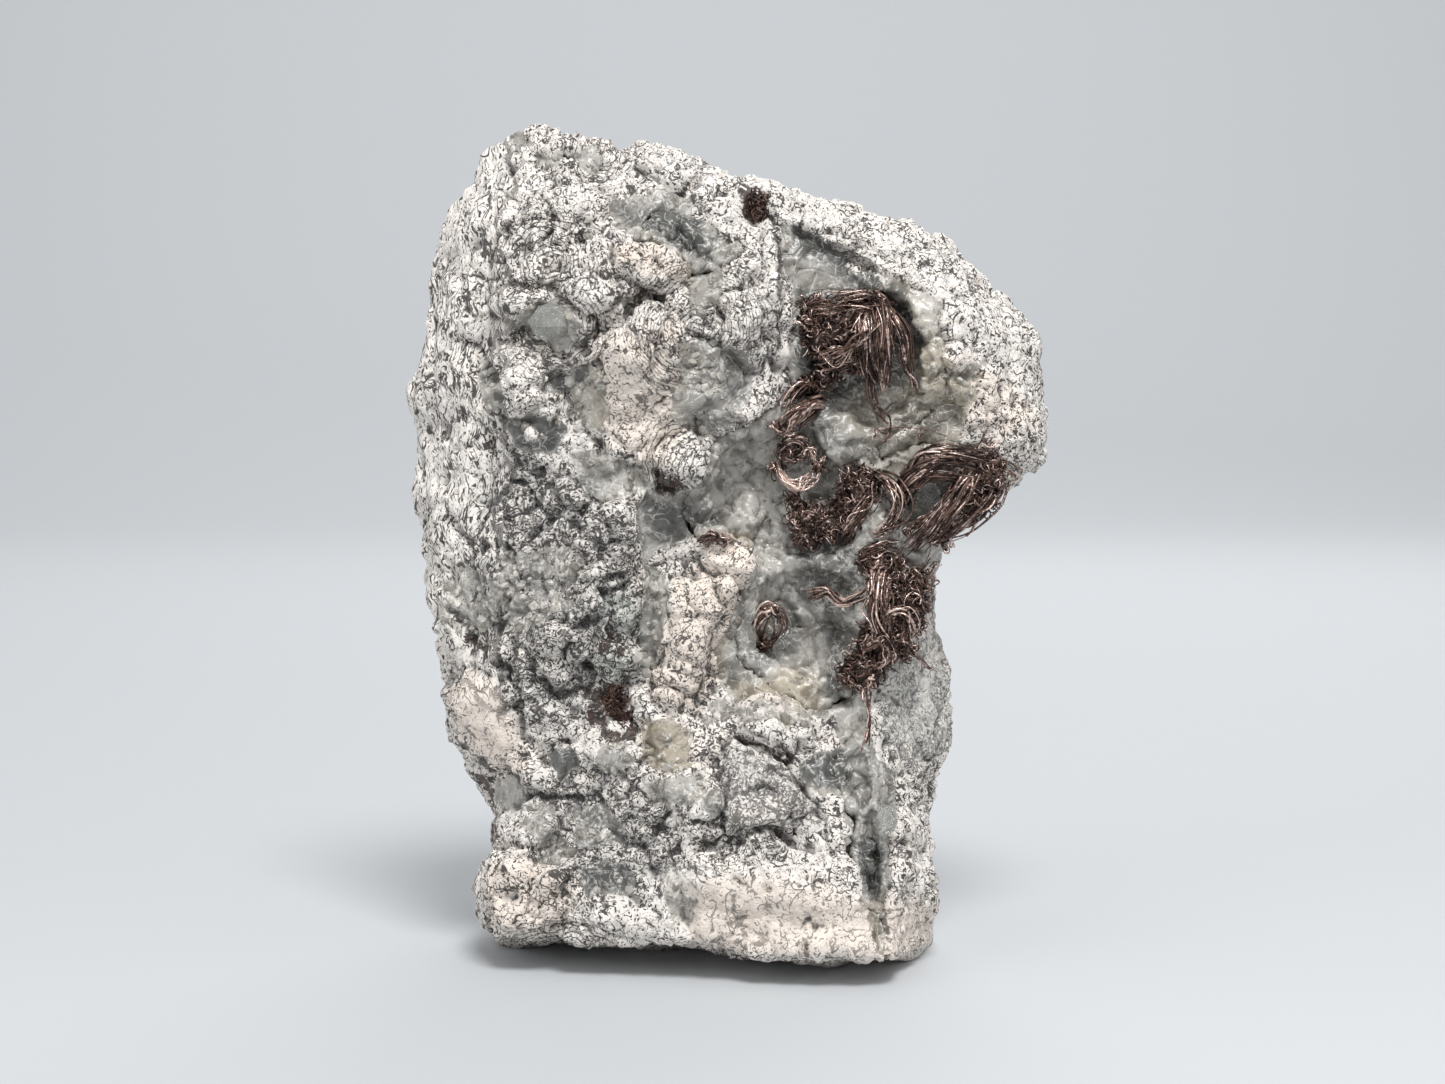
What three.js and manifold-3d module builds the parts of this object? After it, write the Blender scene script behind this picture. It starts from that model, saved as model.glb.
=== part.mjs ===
// Native silver specimen: wire silver in a quartz-lined hollow of a craggy calcite block.
// Millimetres, +Z up, +X to the right and -Y to the front.
import * as THREE from 'three';
import { mergeVertices } from 'three/addons/utils/BufferGeometryUtils.js';
import { ConvexGeometry } from 'three/addons/geometries/ConvexGeometry.js';
import Module from 'manifold-3d';

const wasm = await Module();
wasm.setup();

// ---- driving dimensions ----
const clearance = 0.35; // between neighbouring pieces
const weld = 1e-4; // vertices closer than this are one vertex
const footDepth = 12; // depth of rock cut away under the foot
const footSpan = 200; // the foot's cutting block is wider than any rock
const seeds = { coarse: 1, fine: 7, lumpEdge: 40, mats: 60, platePlace: 80, plateStep: 90, back: 300 };
const block = {
  columns: 19, // cells across the front and the back
  rows: 25, // cells up the front and the back
  flankBands: 3, // bands from the front edge to the girth, and from there to the back edge
  roundness: 0.45, // 0 is a flat chamfer, 1 a full quarter round
  coarse: { size: 9, height: 0.9 }, // wavelength and height of the rock's unevenness
  fine: { size: 4, height: 0.45 },
  plates: { size: 5, height: 0.75 }, // broken plates, each a step higher or lower than the next
  reach: 5.5, // how far one face height spreads
  rimCells: 2, // cells from a face's rim to where its own heights hold
  squareCells: 4, // cells above the foot to where the flank is fully round
};
// A face lump: how far its edge wavers, how flat its top is and how deep its sides go.
const lumpShape = { waver: 0.25, waverSize: 2.5, spread: 1.15, bluntness: 3, depth: 0.55 };

// ---- outlines of the block: foot to top on the left and right, left to right on top and foot ----
const frontEdge = {
  left: [
    [-25.5, -13, 4.6], [-25, -11, 12], [-23, -7, 20], [-27, -8, 28], [-28, -6, 40],
    [-29, -4, 52], [-28.5, -4, 64], [-27, -3.5, 76], [-24, -3, 85],
  ],
  top: [
    [-24, -3, 85], [-20, -3, 87.5], [-10, -4, 86], [0, -5, 83], [9, -6, 80],
    [18, -7, 76], [25, -6, 71], [30, -5, 64], [31.5, -6, 58],
  ],
  right: [
    [16.5, -22, 2.9], [15.5, -19, 12], [14, -16, 20], [13.5, -12, 28], [17, -9, 34],
    [20, -7, 41], [22, -7, 47], [27, -7, 51.5], [31.5, -6, 58],
  ],
  foot: [[-25.5, -13, 4.6], [-18.5, -15, 4.7], [-5, -18, 4.4], [7, -20, 3.8], [16.5, -22, 2.9]],
};
const girth = {
  left: [
    [-27, 7, -2], [-28.5, 3, 7], [-27, 2, 12.5], [-31, 2, 22.5], [-33.2, 2, 34],
    [-34.8, 2, 46], [-35.4, 2, 62], [-33.4, 2, 76], [-31.5, 2, 81.5], [-28, 1, 87], [-24, 1, 90],
  ],
  top: [
    [-24, 1, 90], [-17.5, 2, 89.3], [-7.3, 3, 87], [1.8, 3, 84.5], [10.7, 3, 82.4],
    [19, 3, 80.4], [25, 3, 77.2], [30.6, 3, 71.7], [34.5, 2, 65.6], [35.6, 2, 59.3],
  ],
  right: [
    [22, 2, -2], [23, 0, 7], [22.6, 0, 13], [22.6, 1, 21], [23, 2, 33], [23.8, 2, 43],
    [27, 2, 49], [30.5, 2, 51.8], [34, 2, 54.8], [35.6, 2, 59.3],
  ],
  foot: [[-27, 7, -2], [0, 6, -2.5], [22, 2, -2]],
};
const backEdge = {
  left: [
    [-20, 15, -2], [-24, 17, 20], [-27, 16, 40], [-27, 14, 60], [-24, 11, 76], [-18, 8, 84],
  ],
  top: [[-18, 8, 84], [-8, 10, 82], [4, 12, 78], [14, 13, 73], [22, 12, 66], [26, 11, 57]],
  right: [[16, 16, -2], [17, 18, 20], [16, 17, 34], [18, 16, 45], [26, 11, 57]],
  foot: [[-20, 15, -2], [0, 17, -3], [16, 16, -2]],
};

// ---- how far the rock stands out: place on the face (x, z), then y ----
const frontHeights = [
  [-22, 9, -14], [-12, 9, -16], [0, 10, -18.5], [10, 8, -20.5], [15.5, 6, -21.5],
  [-8, 19, -15], [1, 20, -16.5], [10, 20, -17], [-18, 25, -11], [-10, 27, -11.5],
  [1, 26, -12.5], [10, 28, -11], [-25.5, 17, -7], [-27, 28, -8.5], [-27, 44, -7.5],
  [-29, 56, -4], [-23, 61, -8.5], [-28, 72, -4.5], [-23, 77, -7], [-21, 85, -5],
  [-12, 34, -10], [-12, 44, -10], [-5, 36, -10], [-8, 53, -11], [-14, 63, -10.5],
  [-7, 63, -11], [-10, 77, -8.5], [-14, 87, -5], [-4, 83, -6], [0.5, 70, -10.5],
  [3, 44, -9], [9, 40, -9], [10, 58, -9], [12, 68, -8], [12, 77, -7], [20, 50, -8],
  [18, 60, -8], [16, 35, -9], [18, 77, -6.5], [21, 73, -9], [25, 68, -9.5], [28, 62, -9],
  [30, 57, -7],
];
const backHeights = [
  [-16, 10, 18], [0, 8, 20], [12, 12, 19], [-20, 40, 18.5], [-4, 34, 22], [10, 36, 20],
  [-18, 62, 17], [-2, 58, 20.5], [14, 56, 17], [-10, 76, 14], [4, 72, 15.5], [20, 62, 13],
];

// ---- lumps of calcite on the face: place of the front-most point, then half width and height ----
const edgeLumps = {
  topRidgeLeft: { at: [-19, -4, 88], half: [2.7, 1.4] },
  topRidgeMiddle: { at: [-14.5, -5, 86.5], half: [2.6, 1.5] },
  topRidgeRight: { at: [-10, -4.5, 86.5], half: [2.8, 1.3] },
  topSlope: { at: [-16, -8.5, 82], half: [3.7, 2.7] },
  cornerSlope: { at: [-27.5, -3, 82], half: [3, 3.7] },
  topShoulder: { at: [-24, -6, 79], half: [3.4, 4.2] },
};
const upperLumps = {
  swirl: { at: [-21.5, -11, 73.5], half: [4.8, 4.1] },
  leaf: { at: [-9.5, -13.5, 76.5], half: [4.5, 2.6] },
  leafLobe: { at: [-13.5, -13, 73], half: [3.6, 2.6] },
  knob: { at: [-6, -13, 72], half: [1.6, 1.6] },
  tongue: { at: [-16.5, -14, 69], half: [2.8, 1.5] },
  smallKnob: { at: [1, -12.5, 71.5], half: [1.7, 1.6] },
  pillow: { at: [1, -13.5, 67.5], half: [2.4, 2.6] },
  leftKnob: { at: [-21.5, -12, 62], half: [2.7, 3.2] },
  greyLeft: { at: [-20.5, -11.5, 58], half: [2.7, 2.4] },
};
const middleLumps = {
  plate: { at: [-5.5, -13.5, 53.5], half: [3.4, 2.4] },
  darkLump: { at: [-13, -12.5, 47.5], half: [3.5, 3.2] },
  whiteLump: { at: [-15.5, -13, 41.5], half: [3, 3.4] },
  pinkLump: { at: [-17, -14, 37.5], half: [3.6, 2.8] },
  greenLump: { at: [-12, -12, 37.5], half: [2.7, 3.2] },
  lowGreenLump: { at: [-13, -12, 32.5], half: [2.4, 1.8] },
  middleLeft: { at: [-25, -9.5, 41.5], half: [2.8, 4.3] },
  leftColumn: { at: [-25.5, -8.5, 52], half: [2.6, 4.6] },
  flankHigh: { at: [-30.5, -4.5, 45.5], half: [2.4, 3] },
  flankMiddle: { at: [-31, -5, 39], half: [2.1, 3] },
  flankLow: { at: [-31.2, -4.5, 33.5], half: [1.9, 2.8] },
};
const lowerLumps = {
  bigPink: { at: [-27, -11, 25.5], half: [4.2, 5] },
  cleftTop: { at: [-20, -13, 19], half: [2.1, 1.6] },
  cleftMiddle: { at: [-20, -13.5, 15], half: [3.2, 2.6] },
  cleftLeft: { at: [-25, -11, 14], half: [2.6, 1.9] },
  yellowLump: { at: [-13, -14.5, 23], half: [3.2, 1.9] },
  tanLump: { at: [-7, -14.5, 24.5], half: [3, 2.4] },
  footLeft: { at: [-23.5, -16, 9.2], half: [3.9, 3.2] },
  footSecond: { at: [-18, -17, 10], half: [3.2, 2.6] },
  greyLow: { at: [-14, -17, 10.5], half: [3.7, 1.5] },
  shelf: { at: [4, -17.5, 26], half: [3.4, 1.6] },
  upperBlock: { at: [0.5, -19, 17.5], half: [9, 5.8] },
  lowerBlock: { at: [3, -21, 9.5], half: [11, 5.2] },
  oval: { at: [-2.5, -20.5, 19.5], half: [1.3, 2.1] },
  rightSlab: { at: [18, -17, 13], half: [2.6, 8.5] },
  upperSlab: { at: [19.5, -8, 26.5], half: [2.6, 6.4] },
};
const hoodLumps = {
  hoodStart: { at: [11, -8.5, 79], half: [4.2, 2.4] },
  hoodSlope: { at: [17, -10, 75.5], half: [4.6, 3.4] },
  hoodCrown: { at: [21.5, -12, 70.5], half: [4.6, 4.6] },
  hoodBrow: { at: [25.5, -11.5, 64.5], half: [4.4, 4.4] },
  hoodBeak: { at: [29.7, -9, 59.5], half: [3.8, 4.2] },
};
const creamLumps = {
  creamMass: { at: [-9, -15.5, 66], half: [6.6, 5.6] },
  creamShoulder: { at: [-3, -14.5, 61], half: [5, 4.4] },
  columnHead: { at: [-0.3, -13.5, 44.3], half: [3, 3] },
  columnNeck: { at: [-3.4, -14, 40.6], half: [3.8, 3.4] },
  columnBody: { at: [-4.8, -14, 35.6], half: [4, 4] },
  columnFoot: { at: [-5.8, -13.5, 30.4], half: [4.4, 3.2] },
};
const backLumps = {
  count: 12,
  across: [-20, 16],
  up: [8, 74],
  width: [4, 7.5],
  height: [3.5, 6.5],
  depth: 4,
  rise: 0.9, // how far a lump stands out of the back
};

// ---- hollows: rounded spaces (centre and half sizes) and the quartz that lines them ----
const hollows = {
  quartz_crust: {
    spaces: [
      { centre: [5.5, -8.5, 50.5], half: [12.5, 6, 10.5], seed: 11 },
      { centre: [14.5, -8, 65.5], half: [9.5, 6, 10], seed: 12 },
      { centre: [7.5, -8.5, 36.5], half: [8.5, 6, 9.5], seed: 13 },
      { centre: [20.5, -8, 50.5], half: [7.5, 5, 6], seed: 14 },
    ],
    thickness: 2,
    grains: { count: 12, size: [1.8, 3], seed: 500 },
  },
  quartz_patch_top: {
    spaces: [{ centre: [-3.5, -9.5, 79], half: [6.5, 4, 5], seed: 21 }],
    thickness: 1.5,
    grains: { count: 10, size: [1.2, 2], seed: 640 },
  },
  quartz_seam: {
    spaces: [
      { centre: [13.4, -15.5, 22.5], half: [3, 4.5, 6.5], seed: 31 },
      { centre: [14.6, -18.5, 14], half: [2.6, 4.5, 7], seed: 32 },
    ],
    thickness: 1.2,
    grains: { count: 8, size: [0.9, 1.4], seed: 700 },
  },
};

// ---- silver: wires are routes with a radius at each end, mats are centres with half sizes ----
const silver = {
  silver_top_tuft: {
    mats: [
      { centre: [11, -8.2, 67.7], half: [3.6, 2.4, 3.8] },
      { centre: [15.3, -8.4, 70.4], half: [2.5, 1.9, 2.2] },
    ],
    wires: [
      { route: [[14, -8, 71.6], [13, -10.4, 67.4], [12.9, -9.8, 62.6]], radius: [0.8, 0.5] },
      { route: [[15, -8, 72], [14.9, -11, 67.2], [14.8, -10.4, 62]], radius: [0.8, 0.5] },
      { route: [[16, -8, 72], [16.7, -11, 67], [17, -10.6, 62.4]], radius: [0.8, 0.5] },
      { route: [[16.8, -8.2, 71.6], [18.2, -10.6, 67], [19.4, -10.2, 61.6]], radius: [0.8, 0.4] },
      { route: [[14.9, -10.8, 64.4], [14.7, -9.6, 60.5], [16.2, -9.2, 57.6]], radius: [0.5, 0.35] },
      { route: [[15.5, -9.3, 58.6], [18.2, -9.6, 58.6], [21.7, -9.6, 57.8], [21.8, -10, 54.8]],
        radius: [0.3, 0.25] },
      { route: [[14, -8, 70], [13.6, -3.6, 69]], radius: [1.2, 1] },
    ],
  },
  silver_horn: {
    wires: [
      { route: [[9.2, -8.4, 61.3], [7.7, -10.2, 60], [6.2, -10.4, 58.6], [4.4, -9, 58.1]],
        radius: [0.9, 0.5] },
      { route: [[9, -8, 62.4], [6.6, -9.6, 62.2], [5.6, -9.8, 61], [5.4, -9.8, 59.2]], radius: [0.7, 0.6] },
      { route: [[8.2, -9, 61.6], [8.2, -3.8, 61]], radius: [0.9, 0.8] },
    ],
  },
  silver_small_curl: {
    wires: [
      { route: [[5.6, -8.2, 56], [6.7, -9, 56.9], [7.8, -8.4, 56], [6.8, -8, 55]], radius: [0.45, 0.35] },
      { route: [[6.6, -8.6, 56.6], [6.6, -3.8, 56]], radius: [0.55, 0.55] },
    ],
  },
  silver_u_curl: {
    wires: [
      { route: [[5.2, -7.6, 53.4], [6, -8.8, 52.2], [7.3, -9.2, 51.6], [8.4, -8.8, 52.6], [8.9, -7.6, 53.6]],
        radius: [0.65, 0.55] },
      { route: [[7.2, -8.8, 51.9], [7.2, -3.8, 52]], radius: [0.55, 0.55] },
    ],
  },
  silver_center_mat: {
    mats: [
      { centre: [8.9, -7.2, 47.9], half: [2.5, 1.7, 2.3] },
      { centre: [13, -7.6, 50.4], half: [2.6, 1.8, 3] },
      { centre: [11, -7.2, 48.8], half: [2, 1.4, 1.6] },
    ],
    wires: [{ route: [[11.4, -7.2, 49], [11.4, -3.4, 49]], radius: [1, 1] }],
  },
  silver_hook: {
    wires: [
      {
        route: [
          [15.6, -6, 51.6], [16.7, -9.8, 51.9], [17.3, -10.8, 50.3], [16.9, -10.8, 48.4],
          [15.6, -10.4, 47],
        ],
        radius: [0.6, 0.45],
      },
      { route: [[15.4, -10.4, 46.8], [16.6, -10.8, 47.6], [18, -11, 49.3], [18.7, -11, 51.2]],
        radius: [0.45, 0.3] },
      { route: [[15.7, -10.4, 47.1], [15.7, -6, 47.2]], radius: [0.6, 0.6] },
    ],
  },
  silver_right_band: {
    mats: [{ centre: [26.8, -8.2, 52.7], half: [2.3, 2.2, 2.1] }],
    wires: [
      { route: [[18.9, -8.8, 52.6], [21, -10.4, 54.2], [23.2, -11, 54.5], [26, -9.6, 53.9]],
        radius: [0.7, 1.4] },
      { route: [[25, -9.6, 53], [22.4, -11, 50], [20.9, -11, 47.4], [19.4, -10, 43.9]], radius: [0.9, 0.6] },
      { route: [[27.8, -8, 52.4], [26.4, -8.6, 50.3], [24.2, -9, 47.6], [21.2, -8.6, 45.4]],
        radius: [0.9, 0.5] },
      { route: [[22, -10.6, 48.8], [19.2, -9.8, 47.8], [18.2, -9.2, 46.6], [20, -9.4, 46]],
        radius: [0.4, 0.3] },
      { route: [[25, -10.4, 54.6], [26.4, -10.6, 56.1], [29.4, -10.8, 56.5]], radius: [0.35, 0.25] },
      { route: [[26.6, -8, 52.6], [26, -2.5, 53.4]], radius: [1, 0.9] },
    ],
  },
  silver_lower_cluster: {
    mats: [
      { centre: [17.4, -9.4, 37.2], half: [3.8, 2.6, 4.8] },
      { centre: [13.8, -10, 32.6], half: [2.7, 2.2, 3.3] },
    ],
    wires: [
      { route: [[13.2, -8.6, 44.2], [15.7, -9.4, 45.2], [17.9, -8.8, 44.8]], radius: [0.7, 0.9] },
      { route: [[16.6, -9, 45], [15.6, -10.2, 42.5], [15.8, -10.8, 37.6]], radius: [1, 1.4] },
      { route: [[18, -9, 40.4], [20.8, -8.2, 42.6]], radius: [1.2, 0.6] },
      { route: [[8.4, -8, 39.7], [10.6, -9, 40.4], [11.8, -9, 39.2], [13.4, -9.4, 40], [15, -10, 42]],
        radius: [0.35, 0.7] },
      { route: [[18.4, -10.6, 34.4], [21.6, -11, 32]], radius: [0.4, 0.25] },
      { route: [[14.2, -11, 31], [14.3, -12.4, 27.8], [13.3, -12.9, 23.8]], radius: [0.5, 0.3] },
      { route: [[16.4, -9, 37.4], [16.8, -3.6, 37.4]], radius: [1.2, 1.1] },
    ],
  },
  silver_ring: {
    wires: [
      {
        route: [
          [3, -5, 34.2], [2.4, -8, 35.4], [3, -9, 37.4], [4.4, -9, 38.1], [5.2, -8.8, 36.6],
          [4.4, -8.2, 34.8],
        ],
        radius: [0.6, 0.4],
      },
    ],
  },
  silver_column_curl: {
    wires: [
      { route: [[-3, -11, 46.2], [-2.6, -13.8, 46.8], [-1.4, -14, 46.6], [-0.9, -13.2, 45.6]],
        radius: [0.5, 0.35] },
    ],
  },
  silver_patch_low: {
    mats: [
      { centre: [-12.7, -11.6, 28.6], half: [1.5, 1.6, 2.2] },
      { centre: [-11, -12, 26.6], half: [2, 1.6, 1.5] },
    ],
  },
  silver_patch_top: {
    mats: [{ centre: [2.4, -6.4, 82], half: [1.9, 1.3, 1.9] }],
  },
};

// ---- clear crystals: centre, half sizes, and the number of corners ----
const clearCrystals = {
  clear_crystal_left: { centre: [-19.2, -12.2, 69.3], half: [2.7, 2.4, 2.2], points: 26, seed: 51 },
  clear_crystal_right: { centre: [20.7, -6.8, 50.6], half: [1.9, 2.4, 2.1], points: 16, seed: 52 },
  clear_crystal_lower: { centre: [16, -17.8, 17.2], half: [1.3, 1.6, 1.8], points: 16, seed: 53 },
};

// ---- materials ----
const calcite = new THREE.MeshStandardMaterial({ color: 0xd9d5cd, roughness: 0.9, metalness: 0 });
const quartz = new THREE.MeshStandardMaterial({ color: 0xa7adb0, roughness: 0.35, metalness: 0 });
const clearQuartz = new THREE.MeshStandardMaterial({ color: 0xc4cccf, roughness: 0.15, metalness: 0 });
const tarnishedSilver = new THREE.MeshStandardMaterial({ color: 0x5a3c34, roughness: 0.5, metalness: 0.8 });

// ---- chance and unevenness, the same on every run ----
function seededRandom(seed) {
  let state = seed;
  return () => {
    state = (state + 0x6d2b79f5) | 0;
    let mixed = Math.imul(state ^ (state >>> 15), 1 | state);
    mixed = (mixed + Math.imul(mixed ^ (mixed >>> 7), 61 | mixed)) ^ mixed;
    return ((mixed ^ (mixed >>> 14)) >>> 0) / 2 ** 32;
  };
}

function latticeValue(x, y, z, seed) {
  const mixed = Math.imul(x, 374761393) ^ Math.imul(y, 668265263) ^ Math.imul(z, 1440662683);
  return seededRandom(mixed ^ Math.imul(seed, 974634777))() * 2 - 1;
}

// Smooth noise from -1 to 1 with one random value on each point of a unit lattice.
function noise(point, size, seed) {
  const cell = [point.x, point.y, point.z].map((value) => Math.floor(value / size));
  const inside = [point.x, point.y, point.z].map((value, axis) => value / size - cell[axis]);
  const ease = inside.map((value) => value * value * (3 - 2 * value));
  let total = 0;
  for (let corner = 0; corner < 8; corner += 1) {
    const step = [corner & 1, (corner >> 1) & 1, (corner >> 2) & 1];
    const weight = step.reduce((product, on, axis) => product * (on ? ease[axis] : 1 - ease[axis]), 1);
    total += weight * latticeValue(cell[0] + step[0], cell[1] + step[1], cell[2] + step[2], seed);
  }
  return total;
}

function unevenness(point, { size, height }, seed) {
  const along = [0, 1, 2].map((axis) => height * noise(point, size, seed + axis));
  return new THREE.Vector3(...along);
}

// ---- from three.js geometry to solids, and back ----
function weldGeometry(geometry) {
  const bare = geometry.clone();
  bare.deleteAttribute('normal');
  bare.deleteAttribute('uv');
  return mergeVertices(bare, weld);
}

function toSolid(geometry) {
  const welded = weldGeometry(geometry);
  const vertProperties = new Float32Array(welded.attributes.position.array);
  const triVerts = new Uint32Array(welded.index.array);
  return new wasm.Manifold(new wasm.Mesh({ numProp: 3, vertProperties, triVerts }));
}

function union(solids) {
  return solids.reduce((joined, solid) => joined.add(solid));
}

function moveVertices(geometry, place) {
  const position = geometry.attributes.position;
  const vertex = new THREE.Vector3();
  for (let index = 0; index < position.count; index += 1) {
    vertex.fromBufferAttribute(position, index);
    const placed = place(vertex, index);
    position.setXYZ(index, placed.x, placed.y, placed.z);
  }
  return geometry;
}

// Loose crumbs and sealed bubbles that cutting leaves are dropped: the largest closed shell stays.
function mainShell(solid) {
  const { vertProperties, triVerts } = solid.getMesh();
  const owner = Array.from({ length: vertProperties.length / 3 }, (_, index) => index);
  const find = (index) => {
    let root = index;
    while (owner[root] !== root) root = owner[root];
    owner[index] = root;
    return root;
  };
  for (let corner = 0; corner < triVerts.length; corner += 3) {
    owner[find(triVerts[corner])] = find(triVerts[corner + 1]);
    owner[find(triVerts[corner + 1])] = find(triVerts[corner + 2]);
  }
  const shells = new Map();
  for (let corner = 0; corner < triVerts.length; corner += 3) {
    const root = find(triVerts[corner]);
    if (!shells.has(root)) shells.set(root, []);
    shells.get(root).push(triVerts[corner], triVerts[corner + 1], triVerts[corner + 2]);
  }
  const largest = [...shells.values()].reduce((best, shell) => (shell.length > best.length ? shell : best));
  const geometry = new THREE.BufferGeometry();
  geometry.setAttribute('position', new THREE.BufferAttribute(new Float32Array(vertProperties), 3));
  geometry.setIndex(largest);
  return weldGeometry(geometry.toNonIndexed());
}

function namedMesh(name, solid, material) {
  const geometry = mainShell(solid);
  geometry.computeVertexNormals();
  const mesh = new THREE.Mesh(geometry, material);
  mesh.name = name;
  return mesh;
}

// ---- the block ----
function edgePoints(points, count) {
  const curve = new THREE.CatmullRomCurve3(points.map((point) => new THREE.Vector3(...point)));
  return curve.getSpacedPoints(count);
}

function sampleOutline(outline) {
  return {
    left: edgePoints(outline.left, block.rows),
    right: edgePoints(outline.right, block.rows),
    top: edgePoints(outline.top, block.columns),
    foot: edgePoints(outline.foot, block.columns),
  };
}

// A patch between four edges, each point blended from the edges it lies between.
function blendedPatch(edges) {
  const { rows, columns } = block;
  const patch = [];
  for (let row = 0; row <= rows; row += 1) {
    const up = row / rows;
    const line = [];
    for (let column = 0; column <= columns; column += 1) {
      const across = column / columns;
      const point = new THREE.Vector3()
        .addScaledVector(edges.foot[column], 1 - up)
        .addScaledVector(edges.top[column], up)
        .addScaledVector(edges.left[row], 1 - across)
        .addScaledVector(edges.right[row], across)
        .addScaledVector(edges.foot[0], -(1 - across) * (1 - up))
        .addScaledVector(edges.foot[columns], -across * (1 - up))
        .addScaledVector(edges.top[0], -(1 - across) * up)
        .addScaledVector(edges.top[columns], -across * up);
      line.push(point);
    }
    patch.push(line);
  }
  return patch;
}

function levelAt(point, heights) {
  let total = 0;
  let weights = 0;
  for (const [x, z, y] of heights) {
    const apart = Math.hypot(point.x - x, point.z - z) / block.reach;
    const weight = Math.exp(-apart * apart) + weld;
    total += weight * y;
    weights += weight;
  }
  return total / weights;
}

// How far a lump comes forward at a point: a blunt dome with a wavering edge.
function lumpLevel(point, { at, half }) {
  const apart = Math.hypot((point.x - at[0]) / half[0], (point.z - at[2]) / half[1]);
  const { waver, waverSize, spread, bluntness, depth } = lumpShape;
  const wavering = apart * (1 + waver * noise(point, waverSize, seeds.lumpEdge));
  const fall = Math.min(wavering / spread, 1) ** bluntness;
  return fall < 1 ? at[1] + depth * (half[0] + half[1]) * fall : Infinity;
}

function frontLevel(point) {
  const lumps = [edgeLumps, upperLumps, middleLumps, lowerLumps, hoodLumps, creamLumps]
    .flatMap(Object.values);
  const levels = lumps.map((lump) => lumpLevel(point, lump));
  return Math.min(levelAt(point, frontHeights), ...levels);
}

function backLevel(point) {
  return levelAt(point, backHeights);
}

function raisePatch(patch, levelOf) {
  const { rows, columns, rimCells } = block;
  patch.forEach((line, row) => line.forEach((point, column) => {
    const toEdge = Math.min(row, rows - row, column, columns - column);
    const share = Math.min(toEdge / rimCells, 1);
    point.y += share * (levelOf(point) - point.y);
  }));
  return patch;
}

// The rim of a patch as one closed loop, foot first, then up the right and back down the left.
function loopOf(edges) {
  return [
    ...edges.foot.slice(0, -1),
    ...edges.right.slice(0, -1),
    ...edges.top.slice(1).reverse(),
    ...edges.left.slice(1).reverse(),
  ];
}

// How round the flank is at each point of a loop: flat along the foot, rounder above its corners.
function flankRoundness(index, count) {
  const { columns, roundness, squareCells } = block;
  const fromRight = index - columns;
  const fromLeft = count - index;
  const cellsAbove = fromRight < 0 ? 0 : Math.min(fromRight, fromLeft);
  return roundness * Math.min(cellsAbove / squareCells, 1);
}

function flankLoops(from, to, startsAtFront) {
  const loops = [];
  for (let band = 1; band < block.flankBands; band += 1) {
    const share = band / block.flankBands;
    const quarter = (share * Math.PI) / 2;
    loops.push(from.map((point, index) => {
      const round = flankRoundness(index, from.length);
      const early = share + round * (Math.sin(quarter) - share);
      const late = share + round * (1 - Math.cos(quarter) - share);
      const [outward, backward] = startsAtFront ? [early, late] : [late, early];
      return new THREE.Vector3(
        THREE.MathUtils.lerp(point.x, to[index].x, outward),
        THREE.MathUtils.lerp(point.y, to[index].y, backward),
        THREE.MathUtils.lerp(point.z, to[index].z, outward),
      );
    }));
  }
  return loops;
}

function quad(a, b, c, d) {
  return [a, b, c, a, c, d];
}

function blockGeometry() {
  const { rows, columns } = block;
  const front = sampleOutline(frontEdge);
  const middle = sampleOutline(girth);
  const back = sampleOutline(backEdge);
  const frontPatch = raisePatch(blendedPatch(front), frontLevel);
  const backPatch = raisePatch(blendedPatch(back), backLevel);
  const loops = [
    loopOf(front),
    ...flankLoops(loopOf(front), loopOf(middle), true),
    loopOf(middle),
    ...flankLoops(loopOf(middle), loopOf(back), false),
    loopOf(back),
  ];
  const corners = [];
  for (let row = 0; row < rows; row += 1) {
    for (let column = 0; column < columns; column += 1) {
      const [low, high] = [frontPatch[row], frontPatch[row + 1]];
      corners.push(...quad(low[column], low[column + 1], high[column + 1], high[column]));
      const [lowBack, highBack] = [backPatch[row], backPatch[row + 1]];
      corners.push(...quad(lowBack[column], highBack[column], highBack[column + 1], lowBack[column + 1]));
    }
  }
  for (let band = 0; band < loops.length - 1; band += 1) {
    const [near, far] = [loops[band], loops[band + 1]];
    for (let index = 0; index < near.length; index += 1) {
      const next = (index + 1) % near.length;
      corners.push(...quad(near[index], far[index], far[next], near[next]));
    }
  }
  return weatherSurface(weldGeometry(new THREE.BufferGeometry().setFromPoints(corners)));
}

// The number of the broken plate that a point lies on: the nearest of one random point per cell.
function plateNumber(point, size) {
  const home = [point.x, point.y, point.z].map((value) => Math.floor(value / size));
  let nearest = Infinity;
  let number = 0;
  for (let step = 0; step < 27; step += 1) {
    const cell = home.map((value, axis) => value + (Math.floor(step / 3 ** axis) % 3) - 1);
    const middle = cell.map((value, axis) => (
      (value + 0.5 + 0.45 * latticeValue(...cell, seeds.platePlace + axis)) * size));
    const apart = point.distanceTo(new THREE.Vector3(...middle));
    if (apart < nearest) {
      nearest = apart;
      number = latticeValue(...cell, seeds.plateStep);
    }
  }
  return number;
}

function weatherSurface(geometry) {
  geometry.computeVertexNormals();
  const normals = geometry.attributes.normal;
  const { coarse, fine, plates } = block;
  return moveVertices(geometry, (vertex, index) => {
    const step = plates.height * plateNumber(vertex, plates.size);
    return vertex.clone()
      .add(unevenness(vertex, coarse, seeds.coarse))
      .add(unevenness(vertex, fine, seeds.fine))
      .addScaledVector(new THREE.Vector3().fromBufferAttribute(normals, index), step);
  });
}

// ---- rounded and angular pieces ----
function grownHalf(half, grow) {
  return new THREE.Vector3(...half).addScalar(grow);
}

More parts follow.
